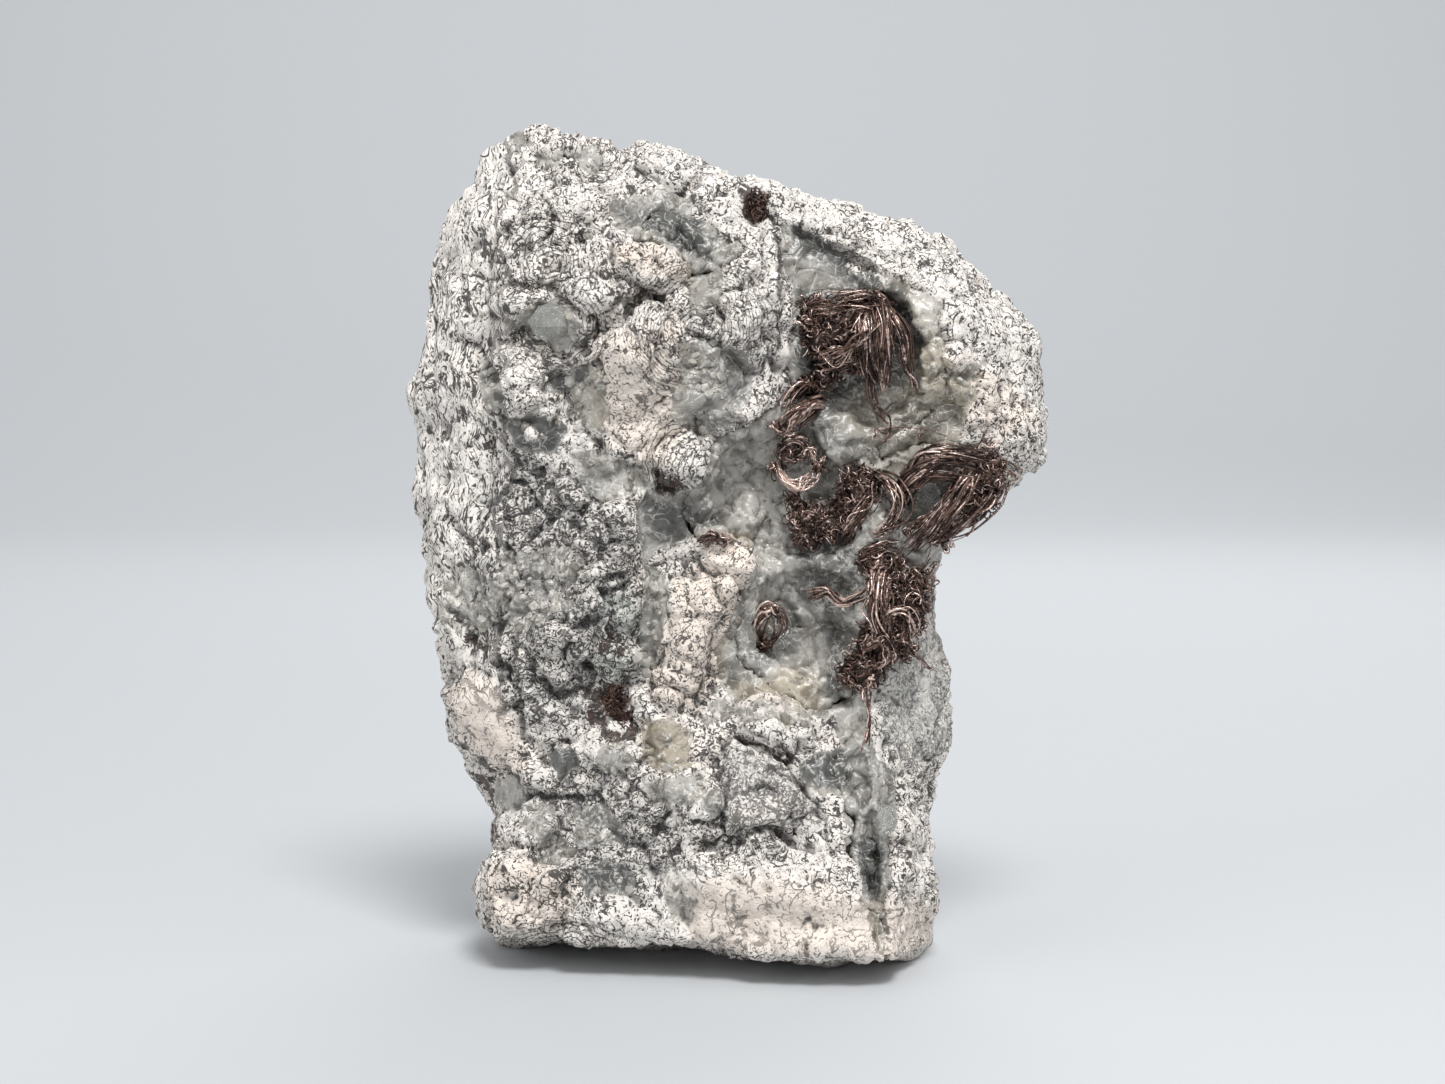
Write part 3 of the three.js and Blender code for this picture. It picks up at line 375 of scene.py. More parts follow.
# masses that stand out of the front: height in mm, width of the edge and outline in pixels
masses = {
    "swirl": (1.2, 7, [
        (491, 300), (505, 286), (531, 288), (556, 294), (578, 311), (594, 322), (590, 333),
        (576, 345), (567, 350), (550, 345), (536, 329), (517, 328), (500, 316)]),
    "lobe": (1.1, 6, [
        (553, 288), (567, 277), (590, 277), (612, 272), (623, 286), (618, 302), (601, 316),
        (584, 311), (567, 300)]),
    "leaf": (1.5, 6, [
        (612, 243), (629, 241), (651, 246), (674, 252), (688, 266), (685, 280), (663, 294),
        (649, 294), (632, 277), (618, 266)]),
    "knob": (1.2, 5, [
        (666, 288), (677, 283), (691, 288), (696, 302), (691, 314), (677, 314), (667, 302)]),
    "outerRidge": (0.8, 7, [
        (486, 277), (494, 255), (508, 232), (517, 215), (531, 201), (545, 199), (550, 213),
        (531, 232), (517, 252), (505, 272)]),
    "innerRidge": (0.7, 6, [
        (522, 278), (530, 258), (546, 246), (556, 228), (572, 232), (584, 250), (572, 266),
        (548, 272), (536, 284)]),
    "crest": (0.8, 6, [
        (536, 151), (553, 137), (578, 141), (606, 145), (623, 151), (651, 162), (657, 173),
        (635, 168), (606, 165), (578, 154), (556, 154)]),
    "crestRight": (0.7, 6, [(660, 162), (691, 165), (696, 176), (685, 190), (663, 185)]),
    "slopeKnob": (0.7, 6, [
        (556, 176), (584, 182), (606, 201), (612, 213), (592, 221), (567, 213), (556, 193)]),
    "creamMass": (1.1, 8, [
        (623, 328), (643, 308), (657, 302), (679, 316), (691, 336), (707, 339), (741, 367),
        (744, 384), (722, 403), (691, 415), (693, 429), (707, 457), (707, 479), (679, 490),
        (657, 482), (657, 471), (635, 465), (606, 451), (592, 431), (576, 429), (570, 401),
        (578, 373), (601, 367), (601, 350)]),
    "massTop": (1.5, 6, [(640, 316), (656, 306), (676, 320), (684, 342), (668, 356), (646, 346)]),
    "rightKnobs": (1.2, 6, [
        (720, 309), (729, 294), (750, 286), (761, 291), (758, 306), (764, 333), (767, 356),
        (753, 371), (732, 356), (720, 333)]),
    "leftKnob": (1.0, 6, [
        (505, 345), (528, 339), (556, 356), (570, 373), (556, 373), (542, 373), (539, 389),
        (542, 403), (522, 409), (505, 395), (503, 367)]),
    "eyeKnob": (0.9, 4, [(523, 428), (533, 425), (541, 432), (538, 442), (526, 442)]),
    "shadeLump": (1.1, 7, [
        (590, 524), (606, 510), (623, 502), (635, 513), (640, 535), (636, 560), (612, 575),
        (592, 565), (580, 545)]),
    "spur": (0.9, 6, [(556, 480), (574, 484), (590, 500), (584, 512), (566, 506), (554, 494)]),
    "whiteLump": (1.1, 7, [
        (563, 604), (571, 586), (584, 567), (595, 561), (608, 569), (597, 588), (603, 610),
        (587, 623), (571, 623)]),
    "pinkLump": (1.2, 7, [
        (528, 647), (536, 631), (549, 623), (587, 628), (592, 642), (587, 658), (584, 685),
        (560, 690), (544, 679), (531, 663)]),
    "greenLump": (0.9, 7, [
        (595, 631), (597, 599), (614, 591), (640, 596), (643, 620), (624, 636), (640, 647),
        (635, 674), (614, 685), (592, 669), (587, 652)]),
    "columnHead": (1.1, 6, [
        (699, 546), (716, 535), (737, 538), (751, 543), (754, 564), (749, 579), (731, 605),
        (719, 599), (713, 573), (702, 561)]),
    "columnBody": (1.1, 7, [
        (666, 585), (684, 576), (707, 582), (719, 599), (725, 617), (710, 631), (710, 649),
        (699, 684), (696, 708), (672, 711), (655, 696), (655, 673), (669, 661), (672, 637),
        (669, 608)]),
    "pinkBig": (0.8, 8, [
        (445, 690), (469, 671), (490, 682), (517, 685), (520, 711), (517, 727), (528, 754),
        (555, 781), (552, 800), (531, 794), (512, 773), (472, 762), (453, 744)]),
    "speckledLump": (0.7, 7, [
        (517, 690), (539, 685), (571, 706), (581, 727), (571, 741), (544, 744), (522, 727)]),
    "lowLump": (0.9, 7, [
        (498, 819), (517, 810), (531, 797), (560, 802), (560, 835), (544, 845), (514, 848),
        (493, 848), (488, 832)]),
    "footLump": (1.0, 8, [
        (474, 872), (498, 853), (528, 848), (549, 861), (571, 869), (560, 888), (571, 904),
        (555, 920), (522, 934), (490, 928), (477, 910)]),
    "greenGlass": (0.9, 5, [
        (595, 752), (614, 744), (632, 746), (648, 752), (640, 765), (624, 773), (605, 776),
        (597, 768)]),
    "darkCrystal": (0.8, 4, [
        (544, 752), (560, 741), (579, 746), (576, 768), (560, 778), (544, 765)]),
    "block": (1.0, 7, [
        (737, 737), (763, 746), (787, 769), (804, 790), (822, 819), (828, 849), (804, 846),
        (763, 828), (728, 831), (719, 843), (725, 802), (728, 778), (718, 760)]),
    "oval": (0.8, 4, [(702, 813), (703, 793), (713, 778), (725, 787), (724, 807), (713, 819)]),
    "footStrip": (0.7, 9, [
        (678, 869), (716, 843), (763, 831), (804, 849), (857, 852), (870, 887), (872, 925),
        (872, 963), (816, 957), (751, 954), (699, 939), (687, 901)]),
    "slab": (0.6, 6, [
        (898, 784), (913, 769), (927, 802), (936, 837), (942, 887), (951, 910), (922, 931),
        (919, 954), (889, 957), (886, 901), (895, 857), (883, 831)]),
    "sillLump": (1.0, 6, [
        (740, 722), (769, 717), (793, 731), (795, 749), (781, 755), (751, 743), (737, 737)]),
    "seamLump": (0.8, 5, [
        (869, 802), (892, 805), (901, 819), (892, 834), (872, 831), (866, 816)]),
    "plate": (1.2, 5, [(659, 462), (688, 453), (711, 470), (700, 491), (670, 491), (656, 482)]),
    "hoodRim": (0.8, 6, [
        (817, 236), (849, 247), (873, 265), (899, 289), (914, 306), (923, 333), (946, 344),
        (978, 356), (978, 374), (946, 371), (926, 347), (908, 321), (893, 297), (858, 265),
        (826, 245)]),
    "hoodTongue": (0.7, 7, [
        (931, 318), (961, 327), (981, 356), (967, 377), (940, 368), (931, 344)]),
    "rib": (0.8, 6, [
        (767, 218), (782, 230), (785, 277), (794, 312), (791, 362), (776, 368), (764, 344),
        (767, 306), (764, 268)]),
    "ribKnob": (0.8, 5, [(738, 259), (758, 259), (767, 271), (753, 280), (738, 274)]),
    "brow": (0.7, 6, [
        (703, 206), (726, 198), (744, 218), (764, 230), (758, 250), (738, 247), (717, 233)]),
    "sideTop": (0.7, 7, [(430, 520), (446, 508), (458, 530), (452, 560), (436, 566), (428, 548)]),
    "sideMiddle": (0.7, 7, [(434, 590), (450, 582), (460, 606), (452, 634), (438, 630)]),
    "middleLeft": (0.8, 8, [
        (480, 560), (500, 548), (514, 572), (512, 610), (494, 622), (480, 600)]),
    "lowMiddle": (0.8, 7, [
        (610, 800), (640, 792), (664, 812), (656, 838), (626, 846), (606, 826)]),
    "footMiddle": (0.7, 7, [
        (590, 900), (630, 896), (656, 912), (650, 934), (606, 936), (584, 922)]),
}

# striations: centre in pixels of the camera's frame, reach, distance between ridges in mm
striations = {
    "swirl": ((548, 262), 62, 1.15), "lobe": ((560, 330), 60, 1.0), "leaf": ((700, 330), 90, 0.85),
    "crown": ((600, 150), 45, 1.2), "foot": ((560, 985), 85, 1.1), "mass": ((700, 470), 80, 1.3),
}

# cracks and clefts, which painted shade darkens by their depth: width and depth in mm, along lines
# in pixels of the camera's frame
cracks = {
    "blockArc": (0.35, 0.6, [
        (722, 745), (745, 742), (775, 752), (792, 770), (806, 795), (820, 822)]),
    "blockSide": (0.3, 0.5, [(703, 786), (716, 776), (727, 790), (724, 815), (716, 838)]),
    "blockBand": (0.25, 0.35, [(722, 832), (752, 826), (780, 832), (812, 836)]),
    "footLine": (0.25, 0.4, [(680, 872), (700, 862), (722, 875), (748, 884), (775, 890)]),
    "footCrack": (0.3, 0.5, [(806, 915), (802, 935), (806, 950)]),
    "footRise": (0.2, 0.35, [(824, 850), (817, 880), (815, 910)]),
    "slabEdge": (0.35, 0.7, [(880, 860), (884, 900), (886, 962)]),
    "slabCrack": (0.25, 0.4, [(898, 880), (915, 905), (920, 935)]),
    "slabTick": (0.25, 0.4, [(898, 842), (912, 848), (912, 838)]),
    # this line is the painted shadow under the hood's edge, as well as a groove
    "underHood": (0.6, 0.9, [
        (796, 232), (822, 240), (846, 252), (862, 262), (880, 283), (897, 300)]),
    "hoodCheek": (0.4, 0.6, [(905, 330), (920, 352), (946, 372), (972, 375)]),
    "shellLine": (0.25, 0.4, [(935, 370), (960, 382), (990, 392)]),
    "plateEdge": (0.45, 0.8, [(655, 492), (680, 494), (702, 490), (714, 478)]),
    "massEdge": (0.4, 0.7, [(590, 345), (582, 370), (578, 395)]),
    "pinkEdge": (0.4, 0.7, [(462, 742), (490, 768), (520, 776), (532, 800)]),
    "lowEdge": (0.35, 0.5, [(530, 800), (560, 796), (600, 800), (640, 796)]),
    "veinLine": (0.25, 0.3, [(632, 505), (655, 498), (700, 494), (750, 494), (800, 494)]),
    "slope": (0.3, 0.5, [(500, 262), (520, 248), (548, 240), (560, 222), (548, 200), (528, 190)]),
    "slopeOuter": (0.3, 0.5, [(488, 300), (492, 262), (505, 225), (530, 205)]),
    "rib": (0.3, 0.6, [(770, 215), (780, 250), (782, 290), (780, 340), (772, 370)]),
    "flank": (0.4, 0.6, [(487, 360), (500, 400), (505, 440), (520, 470)]),
    "flankLow": (0.4, 0.6, [(440, 605), (465, 625), (490, 660), (520, 680)]),
    "sill": (0.35, 0.6, [(742, 728), (765, 738), (785, 752), (800, 768)]),
    "columnSplit": (0.25, 0.4, [(704, 548), (715, 570), (722, 590)]),
}
print("fields and outlines ready")


def fieldsAt(points, normals):
    wander = np.stack([6 * noise(points, 3.4, 40 + axis) + 4 * noise(points, 1.3, 43 + axis)
                       for axis in range(2)], 1)
    spots = toImage(points) + wander
    facing = ease(-0.25, 0.15, -normals[:, 1] - 0.3 * np.abs(normals[:, 0]) * (points[:, 0] > 0))
    facing *= ease(9, 1, points[:, 1] + 5 * noise(points, 5, 69))
    found = {}
    for kind, outlines in zones.items():
        rest = np.ones(len(points))
        for amount, soft, outline in outlines.values():
            rest *= 1 - amount * ease(-soft, soft, reachInto(outline, spots)) * facing
        found[kind] = 1 - rest
    found["stain"] *= ease(4, 0, points[:, 1])
    away = 1 - facing  # the sides, back and top, which no outline reaches
    patch = noise(points, 11, 61) + 0.5 * noise(points, 4.5, 62)
    found["quartz"] += away * ease(0.28, 0.5, patch)
    found["smoke"] += away * 0.7 * ease(0.45, 0.8, patch)
    found["stain"] += 0.55 * ease(0.62, 0.85, noise(points, 3.2, 63) + 0.45 * noise(points, 8, 64))
    found["warm"] += away * 0.6 * ease(0.0, 0.6, noise(points, 14, 65))
    found["grime"] += away * 0.5 * ease(0.05, 0.5, noise(points, 9, 66))
    found["plain"] += away * 0.75 * ease(-0.1, 0.4, noise(points, 10, 68))
    found["grime"] *= 0.5 + 0.6 * ease(-0.25, 0.3, noise(points, 3.6, 67))
    found["quartz"] *= 1 - found["calcite"]
    return {kind: np.clip(value, 0, 1) for kind, value in found.items()}, facing, spots


def massRelief(spots):  # each mass is steep at its edge, with a crevice just outside it
    rise = np.zeros(len(spots))
    moat = np.zeros(len(spots))
    for height, soft, outline in masses.values():
        reach = reachInto(outline, spots)
        body = ease(-1.5, soft, reach) * 0.75 + ease(0, 3.5 * soft, reach) * 0.25
        rise = np.maximum(rise, height * body)
        moat = np.maximum(moat, 0.55 * height * np.exp(-((reach + 3.5) / 3.0) ** 2))
    return rise - moat * ease(0.5, 0.1, rise)


def crackRelief(points, spots, facing):
    deep = np.zeros(len(points))
    for width, depth, line in cracks.values():
        gap = gapToLine(line, spots) * pixel
        broken = ease(-0.5, 0.1, noise(points, 1.8, 81))
        deep = np.maximum(deep, depth * broken * np.exp(-(gap / width) ** 2))
    return deep * facing


def striationsAt(points, spots, facing):  # how strong, and how many ridges from the centre
    strength = np.zeros(len(points))
    phase = points[:, 0] * 0.9 + 0.35 * points[:, 2]
    sway = 0.35 * noise(points, 3.0, 83)
    for centre, reach, spacing in striations.values():
        apart = np.linalg.norm(spots - centre, axis=1)
        share = ease(reach, 0.7 * reach, apart) * facing
        phase = np.where(share > strength, apart * pixel / spacing, phase)
        strength = np.maximum(strength, share)
    return strength, phase + sway


relief = {  # sizes and heights of the rock's features in mm
    "brokenFace": 11.0,
    "brokenHeight": 2.6,
    # size, height of the tilt, height of the dome, how fast it falls, depth of the groove around
    "chip": (4.6, 1.1, 0.35, 1.3, 0.5),
    "smallChip": (1.9, 0.5, 0.12, 1.4, 0.28),
    "pit": 2.3,
    "pitDepth": 0.85,
    "ridge": 2.6,
    "ridgeHeight": 0.3,
    "lump": 2.2,
    "lumpHeight": 0.22,
    "glassFacet": 2.6,
    "glassHeight": 0.75,
    "striationDepth": 0.55,
    "stainDepth": 0.35,
    "smokeDepth": 0.25,
}
flankEdge = -24.0  # the left flank, where the grain runs upright, lies beyond this x


def chipped(points, kind, seed):
    size, tilt, dome, fall, groove = relief[kind]
    near, second, _, slope = facets(points, size, seed, seed + 2)
    return tilt * slope + dome * (1 - fall * near ** 2) - groove * ease(0.12, 0.0, second - near)


def hostRelief(points, normals):
    fields, facing, spots = fieldsAt(points, normals)
    quartz = fields["quartz"]
    rough = 1 - 0.75 * quartz
    bend = np.stack([0.5 * noise(points, 1.6, 91 + axis) for axis in range(3)], 1)
    stretched = (points + bend) * np.where(points[:, :1] < flankEdge, (1, 1, 0.5), 1)
    calm = (1 - 0.7 * fields["plain"]) * rough
    craggy = ease(-0.35, 0.45, noise(points, 12, 99))
    broken = (1 - facing) * ease(2, 10, points[:, 2])  # broad faces where the rock was broken off
    near, second, _, slope = facets(stretched + 1.2 * bend, relief["brokenFace"], 151, 153)
    faces = relief["brokenHeight"] * slope - 0.5 * ease(0.06, 0.0, second - near)
    share = 0.5 + 0.5 * craggy + 0.4 * fields["grime"]
    rise = calm * share * chipped(stretched, "chip", 101) + broken * (faces - 0.4)
    share = 0.35 + 0.65 * craggy + 0.4 * fields["grime"]
    rise += calm * share * chipped(stretched, "smallChip", 105)
    near, _, owner, _ = cells(stretched, relief["pit"], 131)
    chance = 0.12 + 0.2 * fields["grime"] + 0.08 * craggy
    pit = (hashed(owner, 133) < chance) * ease(0.5, 0.1, near)
    pit = pit * (1 - 0.8 * fields["plain"]) * rough
    rise -= relief["pitDepth"] * pit
    fields["pit"] = pit
    ridged = 1 - np.abs(noise(stretched, relief["ridge"], 109)) * 2.2
    rise += (relief["ridgeHeight"] * calm * ridged
             + relief["lumpHeight"] * layered(points, relief["lump"], 111) * rough)
    _, _, owner, slope = facets(points, relief["glassFacet"], 115, 120)
    fields["facet"] = hashed(owner, 123)
    rise += quartz * (relief["glassHeight"] * slope + 0.12 * noise(points, 1.3, 121) - 0.35)
    rise += massRelief(spots) * facing * (1 - 0.35 * quartz)
    strength, phase = striationsAt(points, spots, facing)
    ridge = np.abs(np.sin(math.pi * phase))
    rise -= rough * strength * relief["striationDepth"] * (1 - ridge) ** 2
    crack = crackRelief(points, spots, facing)
    rise -= (crack + relief["stainDepth"] * fields["stain"]
             + relief["smokeDepth"] * fields["smoke"] * quartz)
    flank = ease(flankEdge, flankEdge - 0.3, points[:, 0] + 3 * noise(points, 5, 97))
    flank *= points[:, 2] + 5 * noise(points, 6, 98) > 30
    fields |= {"crack": np.maximum(crack, 0.3 * fields.pop("pit")), "striae": strength,
               "phase": phase, "flank": flank}
    return rise, fields


# meshes
def readPoints(mesh):
    flat = np.empty(len(mesh.vertices) * 3)
    mesh.vertices.foreach_get("co", flat)
    return flat.reshape(-1, 3) / millimetre


def readNormals(mesh):
    flat = np.empty(len(mesh.vertices) * 3)
    mesh.vertices.foreach_get("normal", flat)
    return flat.reshape(-1, 3)


def writePoints(mesh, points):
    mesh.vertices.foreach_set("co", (points * millimetre).ravel())
    mesh.update()


def newPiece(name, mesh, material, node=None):
    piece = bpy.data.objects.new(name, mesh)
    specimen.objects.link(piece)
    mesh.materials.clear()
    mesh.materials.append(material)
    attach(piece, "root")
    if node:
        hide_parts(node)


def modified(mesh, *steps):  # a new mesh with Blender's modifiers applied
    carrier = bpy.data.objects.new("carrier", mesh)
    specimen.objects.link(carrier)
    for kind, settings in steps:
        modifier = carrier.modifiers.new(kind, kind)
        for key, value in settings.items():
            setattr(modifier, key, value)
    ready = carrier.evaluated_get(bpy.context.evaluated_depsgraph_get())
    result = bpy.data.meshes.new_from_object(ready)
    bpy.data.objects.remove(carrier)
    return result


def skinOf(node, grow, voxel, smoothRounds):
    skin = modified(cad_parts[node].data.copy(),
                    ("REMESH", {"mode": "VOXEL", "voxel_size": voxel * millimetre}),
                    ("SMOOTH", {"factor": 0.5, "iterations": smoothRounds}))
    writePoints(skin, readPoints(skin) + grow * readNormals(skin))
    return skin


def hollowness(mesh, points, normals, rounds):  # how far a point lies below its surroundings
    edges = np.empty(len(mesh.edges) * 2, int)
    mesh.edges.foreach_get("vertices", edges)
    first, last = edges[::2], edges[1::2]
    count = np.bincount(edges, minlength=len(points))[:, None]
    around = points
    for _ in range(rounds):
        total = np.stack([np.bincount(first, around[last, axis], len(points))
                          + np.bincount(last, around[first, axis], len(points))
                          for axis in range(3)], 1)
        around = total / np.maximum(count, 1)
    return ((around - points) * normals).sum(1)


def storeField(mesh, name, values):
    layer = mesh.attributes.new(name, "FLOAT", "POINT")
    layer.data.foreach_set("value", np.ascontiguousarray(values, dtype=np.float32))


# shader maths
class Tree:
    def __init__(self, name):
        self.material = bpy.data.materials.new(name)
        self.material.use_nodes = True
        self.nodes = self.material.node_tree.nodes
        self.links = self.material.node_tree.links
        self.nodes.clear()

    def node(self, kind, settings=None, sockets=None, out=0):
        made = self.nodes.new("ShaderNode" + kind)
        for key, value in (settings or {}).items():
            setattr(made, key, value)
        for key, value in (sockets or {}).items():
            self.feed(made.inputs[key], value)
        return Value(self, made.outputs[out])

    def feed(self, socket, value):
        if isinstance(value, Value):
            self.links.new(value.socket, socket)
        elif isinstance(value, (tuple, list)) and socket.type == "RGBA":
            socket.default_value = (*value, 1)
        else:
            socket.default_value = value

    def attribute(self, name):
        return self.node("Attribute", {"attribute_name": name}, out="Fac")

    def blend(self, share, first, second):
        return self.node("Mix", {"data_type": "RGBA"}, {0: share, 6: first, 7: second}, out=2)

    def bump(self, strength, distance, height):
        return self.node("Bump", {}, {"Strength": strength, "Distance": distance * millimetre,
                                      "Height": height}, out="Normal")

    def finish(self, colour, roughness, **others):
        sockets = {"Base Color": colour, "Roughness": roughness, **others}
        surface = self.node("BsdfPrincipled", {}, sockets, out="BSDF")
        output = self.nodes.new("ShaderNodeOutputMaterial")
        self.links.new(surface.socket, output.inputs["Surface"])
        return self.material


class Value:  # one socket, so that sums on sockets read as sums
    def __init__(self, tree, socket):
        self.tree = tree
        self.socket = socket

    def maths(self, operation, first, second=None, clamp=False):
        sockets = {0: first} if second is None else {0: first, 1: second}
        return self.tree.node("Math", {"operation": operation, "use_clamp": clamp}, sockets)

    def __add__(self, other):
        return self.maths("ADD", self, other)

    def __radd__(self, other):
        return self.maths("ADD", other, self)

    def __sub__(self, other):
        return self.maths("SUBTRACT", self, other)

    def __rsub__(self, other):
        return self.maths("SUBTRACT", other, self)

    def __mul__(self, other):
        return self.maths("MULTIPLY", self, other)

    def __rmul__(self, other):
        return self.maths("MULTIPLY", other, self)

    def clamped(self):
        return self.maths("ADD", self, 0.0, clamp=True)

    def between(self, low, high):  # 0 below low, 1 above high, smooth between
        return self.tree.node("MapRange", {"interpolation_type": "SMOOTHSTEP"},
                              {"Value": self, "From Min": low, "From Max": high})

    def most(self, other):
        return self.maths("MAXIMUM", self, other)


def placeOf(tree, bend, bendSize):  # the piece's own place in mm, bent a little
    place = tree.node("TexCoord", out="Object")
    scaled = tree.node("VectorMath", {"operation": "SCALE"}, {0: place, "Scale": 1 / millimetre})
    wave = tree.node("TexNoise", {}, {"Vector": scaled, "Scale": 1 / bendSize, "Detail": 2.0},
                     out="Color")
    moved = tree.node("VectorMath", {"operation": "MULTIPLY_ADD"},
                      {0: wave, 1: (bend, bend, bend), 2: scaled})
    return scaled, moved


def noiseAt(tree, place, size, detail=3.0, roughness=0.55):
    return tree.node("TexNoise", {}, {"Vector": place, "Scale": 1 / size, "Detail": detail,
                                      "Roughness": roughness}, out="Fac")


def swirlAt(tree, place, size, twist):
    return tree.node("TexNoise", {}, {"Vector": place, "Scale": 1 / size, "Detail": 1.5,
                                      "Roughness": 0.5, "Distortion": twist}, out="Fac")


def contourAt(tree, value, width):  # thin winding lines where a noise crosses its middle
    apart = tree.node("Math", {"operation": "ABSOLUTE"}, {0: value - 0.5})
    return 1.0 - apart.between(0.3 * width, width)


def edgesAt(tree, place, size):  # distance to the border between cells
    return tree.node("TexVoronoi", {"feature": "DISTANCE_TO_EDGE"},
                     {"Vector": place, "Scale": 1 / size}, out="Distance")


def pitsAt(tree, place, size):
    return tree.node("TexVoronoi", {"feature": "F1"}, {"Vector": place, "Scale": 1 / size},
                     out="Distance")


# the rock's finish
quartzIndex = 1.54
rockLook = {
    "white": (0.93, 0.885, 0.825),
    "shadeWhite": (0.63, 0.59, 0.55),
    "cream": (0.83, 0.72, 0.625),
    # grey of dust, also used as painted shade in the hollows
    "dust": (0.27, 0.265, 0.255),
    # near-black of pits and cracks, partly their own colour and partly painted shade
    "crack": (0.035, 0.03, 0.027),
    "glass": (0.24, 0.225, 0.195),
    "paleGlass": (0.50, 0.48, 0.44),
    # dark glass of smoky quartz, also used as painted shade in hollows and under overhangs
    "smokyAndShadedGlass": (0.07, 0.071, 0.066),
    "glassTint": (1.0, 0.88, 0.7),
    "vein": (0.72, 0.705, 0.675),
    # brown-black of stains, also used as painted shade in the cleft and the crevices
    "green": (0.22, 0.27, 0.235),
    "stain": (0.035, 0.024, 0.02),
    "rust": (0.075, 0.042, 0.032),
    "crackSize": 2.6,  # mm, and so are the next three
    "cellSize": 1.3,
    "wormSize": 0.62,
    "poreSize": 0.36,
}


def glassColour(tree, place, smoke, warm):
    cloud = noiseAt(tree, place, 5.0, 4.0, 0.6)
    veil = noiseAt(tree, place, 1.3, 4.0, 0.65)
    facet = tree.node("TexVoronoi", {"feature": "F1"}, {"Vector": place, "Scale": 1 / 2.6},
                      out="Color")
    facetShade = tree.node("SeparateColor", {}, {0: facet})
    pale = (cloud * 0.7 + veil * 0.8 + facetShade * 0.35 + tree.attribute("facet") * 0.35 - 0.2
            ).between(0.66, 1.0)
    base = tree.blend(pale, rockLook["glass"], rockLook["paleGlass"])
    # smoky glass, and painted shade under overhangs and in pockets
    dark = (smoke * (1.25 - veil * 0.6)).clamped()
    base = tree.blend(dark, base, rockLook["smokyAndShadedGlass"])
    warmth = (warm * 0.75 + veil.between(0.6, 0.75) * 0.25).clamped()
    tinted = tree.node("Mix", {"data_type": "RGBA", "blend_type": "MULTIPLY"},
                       {0: warmth, 6: base, 7: rockLook["glassTint"]}, out=2)
    veins = (1.0 - edgesAt(tree, place, 2.3).between(0.0, 0.05)) * veil.between(0.46, 0.58)
    wisps = contourAt(tree, swirlAt(tree, place, 2.0, 1.2), 0.02) * cloud.between(0.42, 0.52)
    tinted = tree.blend(veins.most(wisps) * 0.55, tinted, rockLook["vein"])
    seams = contourAt(tree, swirlAt(tree, place, 3.4, 1.0), 0.015) * veil.between(0.5, 0.42)
    flaws = (1.0 - pitsAt(tree, place, 1.5).between(0.05, 0.13)) * cloud.between(0.5, 0.6)
    return tree.blend(flaws.most(seams) * 0.6, tinted, rockLook["crack"])


def pitsOf(tree, place, bent, worm, density, middle, fine):  # cracks and pits at three sizes
    breaks = noiseAt(tree, place, 0.7, 2.0, 0.5)
    coarse = contourAt(tree, swirlAt(tree, bent, rockLook["crackSize"], 0.8), 0.03)
    coarse = coarse * middle.between(0.44, 0.54)
    border = edgesAt(tree, bent, rockLook["cellSize"]) + (breaks - 0.5) * 0.3
    medium = (1.0 - border.between(0.0, 0.06)) * (breaks + density * 0.2).between(0.52, 0.6)
    small = 1.0 - (worm - density * 0.085).between(0.335, 0.37)
    pore = swirlAt(tree, bent, rockLook["poreSize"], 0.6)
    dots = (1.0 - (pore - density * 0.05).between(0.31, 0.34)) * 0.85
    ripple = tree.attribute("phase") * 2.0 + (fine - 0.5) * 0.9
    stripe = tree.node("Math", {"operation": "PINGPONG"}, {0: ripple, 1: 0.5})
    stripes = (1.0 - stripe.between(0.03, 0.13)) * tree.attribute("striae")
    stripes = stripes * breaks.between(0.34, 0.46)
    return coarse.most(medium * 0.9).most(small).most(dots).most(stripes)


